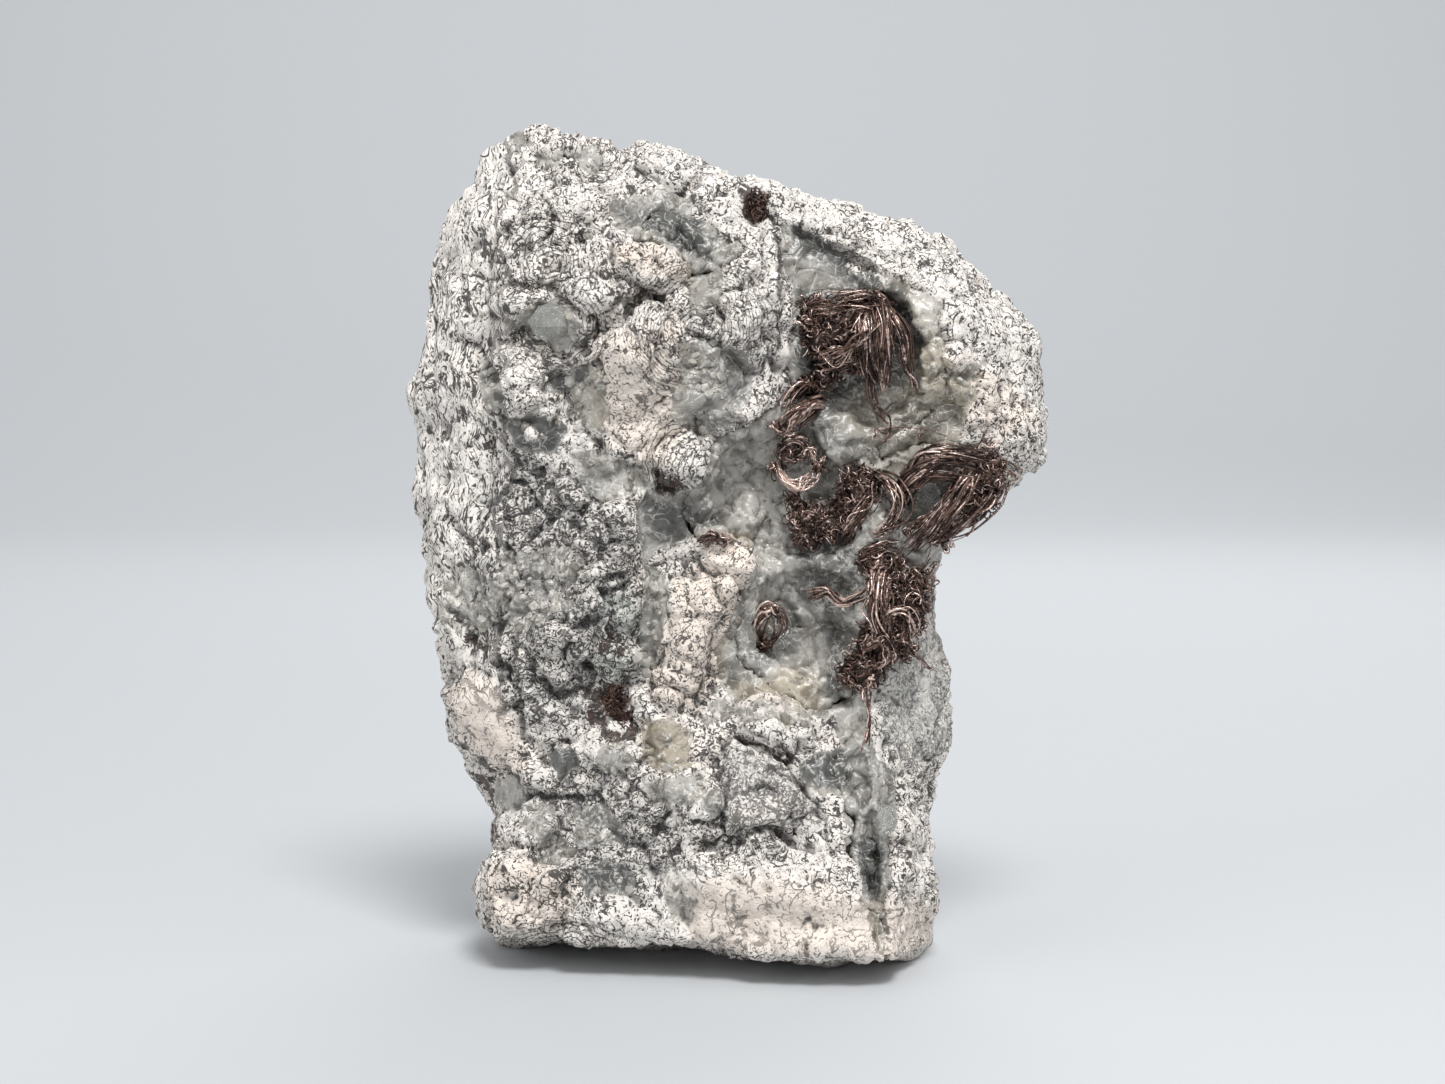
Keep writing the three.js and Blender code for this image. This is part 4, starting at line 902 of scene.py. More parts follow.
def rockMaterial():
    tree = Tree("wormPittedCalcite")
    place, bent = placeOf(tree, 0.55, 0.8)
    _, wavy = placeOf(tree, 5.0, 6.0)
    upright = tree.node("VectorMath", {"operation": "MULTIPLY"}, {0: wavy, 1: (1.25, 1.0, 0.42)})
    bent = tree.node("Mix", {"data_type": "VECTOR"}, {0: tree.attribute("flank"), 4: bent,
                                                      5: upright}, out=1)
    smoke, warm, stain, green, grime, plain, hollow, crack = (tree.attribute(name) for name in (
        "smoke", "warm", "stain", "green", "grime", "plain", "hollow", "crack"))
    broad = noiseAt(tree, place, 6.0)
    middle = noiseAt(tree, place, 1.7)
    fine = noiseAt(tree, place, 0.45, 4.0, 0.65)
    grain = noiseAt(tree, place, 0.16, 2.0, 0.6)
    quartz = tree.attribute("quartz") + (middle - 0.5) * 0.9 + (fine - 0.5) * 0.35
    quartz = quartz.between(0.42, 0.6)
    density = (broad * 0.7 + middle * 0.5 + grime * 0.35 - plain * 0.3).between(0.4, 0.85)
    worm = swirlAt(tree, bent, rockLook["wormSize"], 1.6)
    pits = pitsOf(tree, place, bent, worm, density, middle, fine) * (1.0 - plain * 0.6)
    # colours
    tone = (broad * 0.3 + middle * 0.45 + fine * 0.7 + grain * 0.35).between(0.66, 1.1)
    calcite = tree.blend(tone, rockLook["shadeWhite"], rockLook["white"])
    calcite = tree.blend((warm * 0.8 + broad.between(0.5, 0.7) * 0.25).clamped(), calcite,
                         rockLook["cream"])
    # grey dust in the grimy parts, and painted shade in the hollows of the surface
    valley = hollow.between(-0.06, 0.26)
    dustAndCavityShade = (grime * (fine.between(0.42, 0.6) * 0.75 + valley * 0.9 + 0.05)
             + hollow.between(0.04, 0.4) * 0.5).clamped()
    calcite = tree.blend(dustAndCavityShade, calcite, rockLook["dust"])
    glass = glassColour(tree, place, (smoke * 0.9 + 0.22).clamped(), warm)
    grainy = noiseAt(tree, place, 0.55, 3.0, 0.6)
    glass = tree.blend(grainy.between(0.49, 0.58) * grime * 0.6, glass, rockLook["smokyAndShadedGlass"])
    glass = tree.blend(grainy.between(0.46, 0.38) * grime * 0.5, glass, rockLook["white"])
    colour = tree.blend(quartz, calcite, glass)
    colour = tree.blend((green * fine.between(0.35, 0.6) * 0.85).clamped(), colour,
                        rockLook["green"])
    # dark specks: the pits' own dark, partly painted shade in them
    speck = (1.0 - quartz) * pits
    colour = tree.blend((speck * 0.95).clamped(), colour, rockLook["crack"])
    # stains, and painted shade in the cleft and the crevices
    darkPatches = (stain + (fine - 0.5) * 1.6 + (middle - 0.5) * 0.9).between(0.5, 0.64)
    darkPatchColour = tree.blend(middle.between(0.45, 0.6), rockLook["stain"], rockLook["rust"])
    colour = tree.blend(darkPatches * 0.92, colour, darkPatchColour)
    # painted shade in the cracks and the hollows, the deeper ones darker
    deep = (crack.between(0.12, 0.5) + hollow.between(0.16, 0.55) * 0.6).clamped()
    colour = tree.blend(deep * 0.8, colour, rockLook["crack"])
    # relief
    grainHeight = (fine * 0.3 + grain * 0.1 + middle * 0.3 + worm * 0.5) * (1.0 - quartz * 0.7)
    steps = edgesAt(tree, place, 2.1).between(0.0, 0.1) * quartz
    height = grainHeight - speck * 0.4 + steps * 0.15
    bump = tree.bump(0.9, 0.35, height)
    roughness = (0.86 - quartz * 0.55 + (fine - 0.5) * 0.2).clamped()
    return tree.finish(colour, roughness, Normal=bump, IOR=quartzIndex)


def crustMaterial():
    tree = Tree("greyGlassyQuartz")
    place, bent = placeOf(tree, 0.5, 1.5)
    fine = noiseAt(tree, place, 0.5, 4.0, 0.6)
    colour = glassColour(tree, bent, tree.attribute("smoke"), tree.attribute("warm"))
    # painted shade in the hollows of the crust
    deep = tree.attribute("hollow").between(0.1, 0.5)
    colour = tree.blend(deep * 0.5, colour, rockLook["smokyAndShadedGlass"])
    frost = noiseAt(tree, place, 1.6).between(0.56, 0.68) * fine.between(0.45, 0.62)
    colour = tree.blend(frost * 0.6, colour, rockLook["white"])
    height = noiseAt(tree, bent, 1.1) * 0.5 + fine * 0.18
    bump = tree.bump(0.55, 0.3, height)
    roughness = (0.22 + frost * 0.4 + fine * 0.2).clamped()
    return tree.finish(colour, roughness, Normal=bump, IOR=quartzIndex)


crystalLook = {
    "clear": (0.80, 0.81, 0.78),
    "veil": (0.60, 0.60, 0.56),
    "wisp": (0.95, 0.94, 0.91),
    "transmission": 0.8,
}


def crystalMaterial():
    tree = Tree("clearQuartz")
    place, bent = placeOf(tree, 0.3, 1.0)
    veil = noiseAt(tree, bent, 1.4, 4.0, 0.6)
    wisps = contourAt(tree, swirlAt(tree, bent, 1.6, 1.0), 0.035)
    colour = tree.blend(veil.between(0.45, 0.62), crystalLook["clear"], crystalLook["veil"])
    colour = tree.blend(wisps * 0.7, colour, crystalLook["wisp"])
    bump = tree.bump(0.5, 0.3, veil + wisps * 0.2)
    roughness = (veil.between(0.45, 0.7) * 0.35 + wisps * 0.3 + 0.06).clamped()
    return tree.finish(colour, roughness, Normal=bump, IOR=quartzIndex,
                       **{"Transmission Weight": crystalLook["transmission"]})


silverLook = {
    "tarnish": (0.026, 0.019, 0.017),
    "brown": (0.165, 0.1, 0.08),
    # the bright colour is rubbed silver and painted glints
    "bright": (0.88, 0.69, 0.61),
    "metallic": 0.75,
    "spacing": 0.14,  # mm between the fine lines along a wire
}


def silverMaterial():
    tree = Tree("tarnishedSilver")
    place, bent = placeOf(tree, 0.4, 0.6)
    shade = tree.attribute("shade")
    rub = tree.attribute("rub")
    broad = noiseAt(tree, place, 1.8)
    fine = noiseAt(tree, bent, 0.3, 4.0, 0.6)
    dark = tree.blend((broad * 0.7 + fine * 0.6 + shade * 0.3).between(0.55, 0.95),
                      silverLook["tarnish"], silverLook["brown"])
    # bright wires: rubbed silver, and painted glints
    wornAndGlinting = (rub * 0.75 + (fine - 0.5) * 1.3 + (broad - 0.5) * 1.1).between(0.36, 0.8)
    colour = tree.blend(wornAndGlinting * 0.9, dark, silverLook["bright"])
    lines = noiseAt(tree, place, silverLook["spacing"], 2.0, 0.5)
    bump = tree.bump(0.5, 0.08, lines * 0.6 + fine * 0.4)
    roughness = (0.46 - wornAndGlinting * 0.16 + (fine - 0.5) * 0.2).clamped()
    return tree.finish(colour, roughness, Normal=bump, Metallic=silverLook["metallic"])


rockFinish = rockMaterial()
crustFinish = crustMaterial()
crystalFinish = crystalMaterial()
silverFinish = silverMaterial()
print("finishes ready")

# the rock
rock = {
    "voxel": 0.33,
    "grow": 0.35,
    "smoothRounds": 14,
    "triangles": 196000,
    "insideBox": 0.6,  # how far the dressed rock may pass the box of its solid
}
fieldNames = ("quartz", "smoke", "stain", "green", "warm", "plain", "grime", "crack", "striae",
              "phase", "flank", "facet")


def keepInside(points, node, beyond):
    low, high = (np.array(corner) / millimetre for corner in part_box(node))
    floor = np.array([low[0] - beyond, low[1] - beyond, max(low[2] - beyond, 0)])
    return np.clip(points, floor, high + beyond)


def makeRock():
    mesh = skinOf("calcite_matrix", rock["grow"], rock["voxel"], rock["smoothRounds"])
    points, normals = readPoints(mesh), readNormals(mesh)
    rise, _ = hostRelief(points, normals)
    foot = ease(0.4, 2.5, points[:, 2])  # the resting face stays flat
    points = keepInside(points + normals * (rise * foot)[:, None], "calcite_matrix",
                        rock["insideBox"])
    writePoints(mesh, points)
    share = min(1.0, rock["triangles"] / (2 * len(mesh.polygons)))
    final = modified(mesh, ("TRIANGULATE", {}), ("DECIMATE", {"ratio": share}))
    bpy.data.meshes.remove(mesh)
    points, normals = readPoints(final), readNormals(final)
    _, fields = hostRelief(points, normals)
    for name in fieldNames:
        storeField(final, name, fields[name])
    storeField(final, "hollow", hollowness(final, points, normals, 10))
    final.shade_smooth()
    print("rock:", len(final.polygons), "triangles")
    newPiece("calciteRock", final, rockFinish, "calcite_matrix")
    return points, normals, fields


# quartz crusts
crusts = {
    "quartz_crust": {"name": "quartzCrust", "voxel": 0.3, "grow": 0.5, "facet": 3.2, "step": 1.1,
                     "smoke": 0.08},
    "quartz_patch_top": {"name": "quartzPatchTop", "voxel": 0.2, "grow": 0.3, "facet": 2.0,
                         "step": 0.7, "smoke": 0.42},
    "quartz_seam": {"name": "quartzSeam", "voxel": 0.2, "grow": 0.3, "facet": 2.4, "step": 0.7,
                    "smoke": 0.42},
}


def makeCrust(node, look):
    mesh = skinOf(node, look["grow"], look["voxel"], 5)
    points, normals = readPoints(mesh), readNormals(mesh)
    rise = 0.25 * layered(points, 4.0, 201)
    facet = 0
    large, step = look["facet"], look["step"]
    for size, height, seed in ((large, step, 205), (large / 2.3, step * 0.4, 215)):
        near, second, owner, slope = facets(points, size, seed, seed + 5)
        tone = hashed(owner, seed + 9)
        rise += height * slope + 0.25 * height * (tone - 0.5)
        rise -= 0.35 * height * ease(0.14, 0.0, second - near)
        facet += 0.5 * tone
    points = points + normals * rise[:, None]
    writePoints(mesh, points)
    fields, _, _ = fieldsAt(points, readNormals(mesh))
    storeField(mesh, "smoke", np.clip(fields["smoke"] + look["smoke"], 0, 1))
    storeField(mesh, "warm", fields["warm"])
    storeField(mesh, "facet", facet)
    storeField(mesh, "hollow", hollowness(mesh, points, readNormals(mesh), 8))
    mesh = modified(mesh, ("TRIANGULATE", {}))
    mesh.shade_smooth()
    print(look["name"] + ":", len(mesh.polygons), "triangles")
    newPiece(look["name"], mesh, crustFinish, node)


# joined meshes of small things
class Heap:
    def __init__(self):
        self.points, self.faces, self.count = [], [], 0
        self.marks = {}

    def add(self, points, faces, **marks):
        self.points.append(points)
        self.faces.extend([[corner + self.count for corner in face] for face in faces])
        self.count += len(points)
        for name, value in marks.items():
            self.marks.setdefault(name, []).append(np.broadcast_to(value, len(points)))

    def mesh(self, name, smooth=True):
        mesh = bpy.data.meshes.new(name)
        points = np.concatenate(self.points) * millimetre
        mesh.from_pydata(points.tolist(), [], self.faces)
        for mark, values in self.marks.items():
            storeField(mesh, mark, np.concatenate(values))
        if smooth:
            mesh.shade_smooth()
        return mesh


def curveThrough(route, count):  # a smooth curve through the points of a route
    knots = np.array([route[0], *route, route[-1]], float)
    spots = np.linspace(0, len(route) - 1 - 1e-6, count)
    start = spots.astype(int)
    t = (spots - start)[:, None]
    a, b, c, d = (knots[start + shift] for shift in range(4))
    return 0.5 * (2 * b + (c - a) * t + (2 * a - 5 * b + 4 * c - d) * t ** 2
                  + (3 * b - a - 3 * c + d) * t ** 3)


wireSides = 5


def addTube(heap, path, radius, flat, **marks):
    count, sides = len(path), wireSides
    ahead = np.gradient(path, axis=0)
    ahead /= np.maximum(np.linalg.norm(ahead, axis=1), 1e-9)[:, None]
    side = np.cross(ahead[0], (0.31, 0.55, 0.77))
    across = np.empty_like(path)
    for index in range(count):
        side = side - ahead[index] * (side @ ahead[index])
        side /= max(np.linalg.norm(side), 1e-9)
        across[index] = side
    other = np.cross(ahead, across)
    radii = np.broadcast_to(radius, count)[:, None, None]
    turn = np.linspace(0, 2 * math.pi, sides, endpoint=False)
    ring = (across[:, None, :] * np.cos(turn)[None, :, None]
            + other[:, None, :] * flat * np.sin(turn)[None, :, None])
    points = (path[:, None, :] + ring * radii).reshape(-1, 3)
    faces = []
    for row in range(count - 1):
        for column in range(sides):
            here, after = row * sides + column, row * sides + (column + 1) % sides
            faces.append((here, after, after + sides, here + sides))
    faces.append(tuple(range(sides - 1, -1, -1)))
    faces.append(tuple((count - 1) * sides + column for column in range(sides)))
    heap.add(points, faces, **marks)


# strands side by side along one route
bundleWire = {"curl": 0.3, "loose": 0.5, "segments": 18}


def addBundle(heap, random, route, strands, spread, thick, bright=0.0):
    curl, loose, segments = bundleWire.values()
    for _ in range(strands):
        path = curveThrough(route, segments)
        ahead = path[-1] - path[0]
        offset = random.normal(size=3) * spread
        offset -= ahead * (offset @ ahead) / max(ahead @ ahead, 1e-9)
        ends = np.linspace(0, 1, segments)[:, None]
        fan = 1 + loose * (ends - 0.3) * random.uniform(0.2, 2.2)
        wave = curveThrough(random.normal(size=(random.integers(4, 7), 3)) * curl, segments)
        start = random.uniform(0, 0.12)
        cut = random.uniform(0.68, 1.0)
        keep = slice(int(start * segments), max(int(cut * segments), 4))
        path = (path + offset * fan + wave)[keep]
        radius = 0.85 * thick * random.uniform(0.6, 1.3) * np.linspace(1.1, 0.45, len(path))
        addTube(heap, path, radius, random.uniform(0.55, 1), shade=random.uniform(0, 1),
                rub=min(random.uniform(0, 1) ** 1.7 + bright, 1.0))


# tangled wires that stay within an egg shape
matWire = {"length": (1.0, 3.2), "turning": (0.4, 1.6), "segments": 10}


def addMat(heap, random, centre, half, strands, thick, rubbedAndGlinting=1.0):
    segments = matWire["segments"]
    centre, half = np.array(centre), np.array(half)
    for _ in range(strands):
        way = random.normal(size=3)
        way /= np.linalg.norm(way)
        way[1] = -abs(way[1]) if random.random() < 0.8 else way[1]
        spot = centre + half * way * random.uniform(0.55, 1.0)
        heading = np.cross(way, random.normal(size=3))
        heading /= np.linalg.norm(heading)
        axis = random.normal(size=3)
        axis /= np.linalg.norm(axis)
        stride = random.uniform(*matWire["length"]) / segments
        turning = random.uniform(*matWire["turning"])
        path = [spot]
        for _ in range(segments - 1):
            heading = heading + np.cross(axis, heading) * turning * stride * 2
            outward = (spot - centre) / half
            reach = np.linalg.norm(outward)
            if reach > 1.0:
                heading = heading - outward / reach * (reach - 1.0) * 1.5
            axis = axis + random.normal(size=3) * 0.15
            heading /= np.linalg.norm(heading)
            spot = spot + heading * stride
            path.append(spot)
        radius = thick * random.uniform(0.6, 1.5) * np.linspace(1.0, 0.5, segments)
        addTube(heap, np.array(path), radius, random.uniform(0.5, 1),
                shade=random.uniform(0, 1), rub=rubbedAndGlinting * random.uniform(0, 1) ** 1.3)


# strands spread between neighbouring routes, as in a tassel
def addFan(heap, random, routes, strands, spread, thick, curl):
    segments = 20
    curves = [curveThrough(route, segments) for route in routes]
    for _ in range(strands):
        spot = random.uniform(0, len(curves) - 1.001)
        first, share = int(spot), spot - int(spot)
        path = curves[first] * (1 - share) + curves[first + 1] * share
        path = path + random.normal(size=3) * spread
        path = path + curveThrough(random.normal(size=(random.integers(4, 7), 3)) * curl, segments)
        keep = slice(random.integers(0, 4), random.integers(int(0.6 * segments), segments + 1))
        path = path[keep]
        radius = thick * random.uniform(0.5, 1.3) * np.linspace(1.1, 0.5, len(path))
        addTube(heap, path, radius, random.uniform(0.55, 1), shade=random.uniform(0, 1),
                rub=random.uniform(0, 1) ** 1.2)


# the dark heart is painted shade for the thick inside of a mat
def addCore(heap, centre, half):  # a dark spongy heart, so that a mat isn't seen through
    turn, rows = 12, 7
    points, faces = [], []
    for row in range(rows):
        up = math.pi * (row + 0.5) / rows
        for column in range(turn):
            along = 2 * math.pi * column / turn
            points.append((math.sin(up) * math.cos(along), math.sin(up) * math.sin(along),
                           math.cos(up)))
    for row in range(rows - 1):
        for column in range(turn):
            here, after = row * turn + column, row * turn + (column + 1) % turn
            faces.append((here, here + turn, after + turn, after))
    faces.append(tuple(range(turn)))
    faces.append(tuple(reversed(range((rows - 1) * turn, rows * turn))))
    points = np.array(points) * half + centre
    points += 0.3 * noise(points, 1.2, 301)[:, None] * (points - centre)
    heap.add(points, faces, shade=0.0, rub=0.0)


# silver: every place is in the specimen's own millimetres
# a mat has a centre, half sizes, the number of wires and their radius
# a fan has routes side by side, the number of wires, their spread, radius and curl
# a bundle has one route, the number of wires, their spread, radius and how much brighter they are,
# from wear and painted glints
silver = {
    "silver_top_tuft": {
        "mats": [((11.0, -9.2, 68.4), (3.5, 2.2, 3.5), 430, 0.115),
                 ((14.6, -9.2, 69.8), (3.4, 2.4, 3.0), 360, 0.115),
                 ((12.6, -9.4, 65.6), (2.6, 1.7, 2.0), 150, 0.115),
                 ((9.4, -8.6, 70.8), (1.8, 1.2, 1.4), 60, 0.11),
                 ((10.4, -9.2, 63.6), (1.4, 0.9, 1.2), 40, 0.11)],
        "fans": [
            ([[(14.2, -9.4, 71.2), (13.9, -11.6, 68.4), (14.5, -11.4, 64.8), (16.0, -10.6, 62.9)],
              [(15.4, -9.6, 72.2), (15.6, -12.1, 68.8), (16.0, -11.8, 65.0), (16.8, -10.9, 62.5)],
              [(16.6, -9.4, 72.4), (17.4, -11.9, 68.8), (17.4, -11.6, 65.2), (17.2, -10.9, 62.4)]],
             110, 0.24, 0.15, 0.26),
            ([[(16.6, -9.4, 71.6), (18.4, -11.4, 68.2), (18.9, -11.2, 65.4), (19.6, -10.7, 62.6)],
              [(17.4, -9.0, 71.0), (19.2, -11.0, 68.2), (19.7, -10.9, 65.2), (20.2, -10.6, 61.7)]],
             30, 0.16, 0.17, 0.12),
            ([[(16.2, -10.4, 71.8), (13.6, -11.2, 72.6), (10.6, -10.6, 72.0), (8.4, -9.6, 71.8)],
              [(16.4, -10.8, 71.0), (13.4, -11.6, 71.0), (10.4, -11.0, 70.6), (8.6, -9.8, 70.2)]],
             22, 0.4, 0.12, 0.55),
            ([[(16.8, -10.8, 70.0), (14.4, -12.0, 66.8), (12.2, -11.6, 64.6), (9.4, -10.6, 64.2)],
              [(16.0, -11.2, 69.0), (13.4, -12.0, 67.0), (11.2, -11.6, 66.2), (9.4, -10.6, 66.6)]],
             22, 0.3, 0.12, 0.45),
        ],
        "rubbedAndGlinting": 1.15,
        "bundles": [
            ([(18.6, -11.1, 66.4), (19.5, -11.1, 64.0), (20.3, -10.7, 61.6)], 7, 0.14, 0.22, 0.3),
            ([(15.4, -11.3, 64.6), (15.6, -10.4, 61.6), (16.3, -10.0, 59.6), (17.3, -9.8, 57.7)],
             5, 0.12, 0.2, 0.1),
            ([(17.2, -10.0, 58.0), (16.4, -9.9, 57.2), (15.4, -9.8, 56.7)], 3, 0.08, 0.17, 0.1),
            ([(16.4, -9.9, 57.3), (17.8, -10.0, 58.0), (19.4, -10.1, 58.2), (22.0, -10.2, 57.8),
              (22.5, -10.4, 56.6), (22.6, -10.6, 54.8)], 1, 0.02, 0.17),
            ([(20.9, -10.1, 58.0), (21.1, -10.3, 56.6), (21.2, -10.4, 55.2)], 1, 0.02, 0.14),
            ([(22.4, -10.2, 57.7), (23.4, -10.3, 57.4), (23.3, -10.5, 55.4)], 1, 0.02, 0.12),
        ],
    },
    "silver_horn": {
        "mats": [((8.6, -8.8, 62.4), (1.5, 1.0, 1.2), 70, 0.11)],
        "bundles": [
            ([(10.3, -8.6, 60.8), (9.2, -10.8, 60.9), (7.7, -11.3, 60.0), (6.4, -11.0, 58.8),
              (5.3, -9.9, 57.6)], 26, 0.3, 0.26, 0.35),
            ([(9.9, -8.4, 62.3), (8.0, -10.2, 62.4), (6.6, -10.5, 61.0), (6.0, -10.5, 59.2)],
             18, 0.28, 0.2, 0.15),
            ([(9.9, -8.8, 60.4), (8.6, -10.2, 59.2), (7.4, -9.8, 57.8)], 10, 0.2, 0.16, 0.1),
            ([(5.2, -9.8, 58.2), (6.4, -10.4, 57.6), (7.4, -10.2, 58.0)], 8, 0.2, 0.2, 0.3),
        ],
    },
    "silver_small_curl": {
        "mats": [((7.0, -8.6, 55.7), (1.6, 1.1, 1.1), 90, 0.12)],
        "bundles": [([(5.6, -8.8, 56.0), (7.0, -10.0, 57.0), (8.6, -9.5, 56.2), (8.3, -9.3, 55.0),
                      (7.0, -9.4, 54.8)], 14, 0.2, 0.18, 0.3),
                    ([(8.0, -9.4, 55.2), (8.9, -9.6, 55.6), (9.4, -9.2, 54.8)],
                     6, 0.12, 0.16, 0.5)],
    },
    "silver_u_curl": {
        "bundles": [([(5.4, -7.8, 54.1), (6.2, -9.4, 52.6), (7.8, -10.1, 51.8), (9.2, -9.5, 52.6),
                      (9.9, -8.2, 54.2)], 20, 0.18, 0.24, 0.55)],
        "mats": [((9.8, -8.4, 54.0), (0.8, 0.7, 0.8), 26, 0.12),
                 ((5.3, -7.9, 53.6), (0.7, 0.6, 0.8), 20, 0.11)],
    },
    "silver_center_mat": {
        "mats": [((9.0, -8.2, 48.2), (2.6, 1.7, 1.8), 230, 0.11),
                 ((11.6, -8.6, 47.6), (2.2, 1.6, 1.8), 170, 0.11),
                 ((14.4, -8.6, 51.6), (2.5, 1.8, 2.6), 260, 0.11),
                 ((12.8, -8.6, 49.4), (2.0, 1.6, 1.8), 140, 0.11),
                 ((7.4, -8.0, 50.2), (1.0, 0.9, 1.2), 40, 0.1),
                 ((8.8, -8.0, 45.8), (1.4, 1.0, 0.9), 50, 0.1)],
        "bundles": [([(12.2, -10.0, 46.8), (13.7, -10.4, 48.8), (15.4, -10.2, 51.4),
                      (15.2, -9.8, 53.4)], 12, 0.35, 0.12, 0.1)],
    },
    "silver_hook": {
        "bundles": [
            ([(15.4, -8.4, 53.2), (17.2, -10.6, 52.4), (18.3, -11.4, 50.2), (17.4, -11.4, 48.0),
              (15.9, -11.0, 46.9)], 22, 0.3, 0.17, 0.2),
            ([(17.9, -9.4, 48.6), (16.9, -10.8, 47.4), (15.4, -10.8, 46.2)], 16, 0.24, 0.16, 0.3),
        ],
    },
    "silver_right_band": {
        "mats": [((27.6, -8.9, 53.2), (2.5, 2.0, 2.4), 290, 0.115),
                 ((25.4, -9.4, 50.2), (2.0, 1.4, 2.2), 130, 0.12),
                 ((23.0, -9.6, 47.0), (1.7, 1.2, 1.9), 90, 0.11),
                 ((28.4, -7.8, 50.4), (1.2, 1.0, 1.4), 50, 0.11)],
        "fans": [
            ([[(18.5, -8.8, 49.8), (19.6, -11.0, 52.0), (22.2, -11.8, 53.0), (26.4, -10.8, 52.4)],
              [(18.6, -8.9, 51.6), (20.3, -11.5, 53.9), (23.0, -12.1, 54.6), (27.2, -11.0, 53.8)],
              [(19.4, -9.0, 53.2), (21.2, -11.6, 55.2), (24.2, -12.0, 55.8), (28.8, -10.4, 55.2)]],
             120, 0.26, 0.15, 0.28),
            ([[(25.0, -10.8, 53.4), (23.4, -11.7, 50.8), (21.6, -12.0, 48.3), (19.0, -10.6, 44.8)],
              [(26.6, -10.2, 53.2), (25.0, -11.3, 50.6), (23.0, -11.6, 47.9),
               (20.2, -10.4, 44.6)]],
             80, 0.26, 0.16, 0.26),
            ([[(28.8, -8.2, 53.2), (27.6, -9.2, 50.6), (25.2, -9.7, 47.8), (22.4, -9.4, 45.4)],
              [(29.6, -8.0, 52.8), (28.4, -8.8, 50.2), (26.2, -9.3, 47.8), (23.4, -9.2, 46.0)]],
             60, 0.28, 0.14, 0.3),
        ],
        "bundles": [
            ([(22.8, -11.1, 48.8), (20.8, -11.2, 48.1), (19.3, -10.9, 47.0), (20.4, -10.7, 46.0)],
             20, 0.25, 0.15, 0.2),
            ([(25.6, -10.8, 55.2), (27.2, -11.2, 56.3), (30.0, -11.2, 56.6)], 4, 0.14, 0.14, 0.1),
            ([(29.0, -9.0, 54.6), (30.6, -8.6, 53.6), (31.0, -8.4, 52.2)], 8, 0.25, 0.13, 0.1),
        ],
    },
    "silver_lower_cluster": {
        "mats": [((18.6, -10.4, 38.6), (3.2, 2.4, 3.0), 330, 0.13),
                 ((17.0, -10.6, 35.2), (3.4, 2.6, 2.8), 330, 0.13),
                 ((14.4, -10.9, 32.2), (2.5, 2.1, 2.4), 200, 0.13),
                 ((16.8, -10.0, 43.4), (2.5, 1.5, 1.7), 190, 0.12),
                 ((17.4, -10.0, 41.0), (2.1, 1.6, 1.8), 130, 0.12),
                 ((20.6, -9.6, 41.4), (1.6, 1.2, 1.6), 80, 0.11)],
        "fans": [
            ([[(15.8, -10.2, 43.4), (15.2, -12.0, 41.2), (14.9, -12.8, 38.4), (15.9, -13.0, 35.6)],
              [(17.6, -10.2, 43.4), (17.2, -12.1, 41.0), (17.0, -13.0, 38.4),
               (17.8, -13.0, 36.0)]],
             60, 0.2, 0.15, 0.2),
        ],
        "bundles": [
            ([(14.2, -9.6, 44.0), (16.4, -10.6, 45.2), (18.8, -9.8, 44.8)], 24, 0.36, 0.15, 0.15),
            ([(19.0, -10.8, 40.4), (21.5, -9.6, 42.8), (22.8, -9.2, 44.6)], 14, 0.3, 0.15, 0.1),
            ([(9.1, -8.6, 39.9), (10.8, -9.6, 40.5), (12.3, -9.7, 39.3), (14.1, -10.2, 39.9),
              (15.8, -10.8, 41.4)], 22, 0.2, 0.18, 0.25),
            ([(16.4, -12.6, 37.6), (18.6, -13.2, 38.8), (19.8, -12.6, 36.8), (18.0, -13.0, 35.4)],
             14, 0.22, 0.18, 0.35),
            ([(14.8, -12.6, 34.6), (16.2, -13.2, 35.6), (17.2, -13.0, 33.6), (15.6, -12.9, 32.4)],
             12, 0.22, 0.17, 0.3),
            ([(19.3, -12.0, 34.4), (22.3, -11.6, 32)], 3, 0.1, 0.16, 0.1),
            ([(15.0, -12.2, 31), (15.1, -12.9, 27.8), (14.9, -13.2, 25.6), (14.1, -13.4, 23.8)],
             4, 0.1, 0.22),
        ],
    },
    "silver_ring": {
        "bundles": [([(3.6, -6.4, 34.4), (3.1, -8.7, 35.6), (3.7, -9.7, 37.7), (5.1, -9.7, 38.4),
                      (6.0, -9.5, 36.8), (5.1, -8.9, 35.0), (3.9, -8.5, 34.6)],
                     22, 0.18, 0.18, 0.1),
                    ([(3.8, -9.6, 38.2), (4.8, -10.0, 38.8), (5.6, -9.6, 38.0)],
                     10, 0.2, 0.18, 0.3)],
        "mats": [((3.8, -7.4, 34.6), (1.0, 0.9, 0.8), 40, 0.11)],
    },
    "silver_column_curl": {
        "bundles": [([(-2.5, -12.6, 46.1), (-1.6, -14.5, 46.9), (-0.3, -14.2, 46.5),
                      (0.0, -13.0, 45.8)], 18, 0.2, 0.18, 0.5)],
    },
    "silver_patch_low": {
        "mats": [((-12.0, -12.2, 29.0), (1.2, 0.6, 1.8), 110, 0.09),
                 ((-10.4, -12.0, 26.9), (1.5, 0.6, 1.1), 90, 0.09)],
        "rubbedAndGlinting": 0.25,
    },
    "silver_patch_top": {
        "mats": [((3.1, -6.5, 82.2), (1.3, 0.8, 1.1), 60, 0.09),
                 ((3.5, -6.6, 80.9), (0.9, 0.8, 0.8), 34, 0.09)],
        "rubbedAndGlinting": 0.4,
    },
}


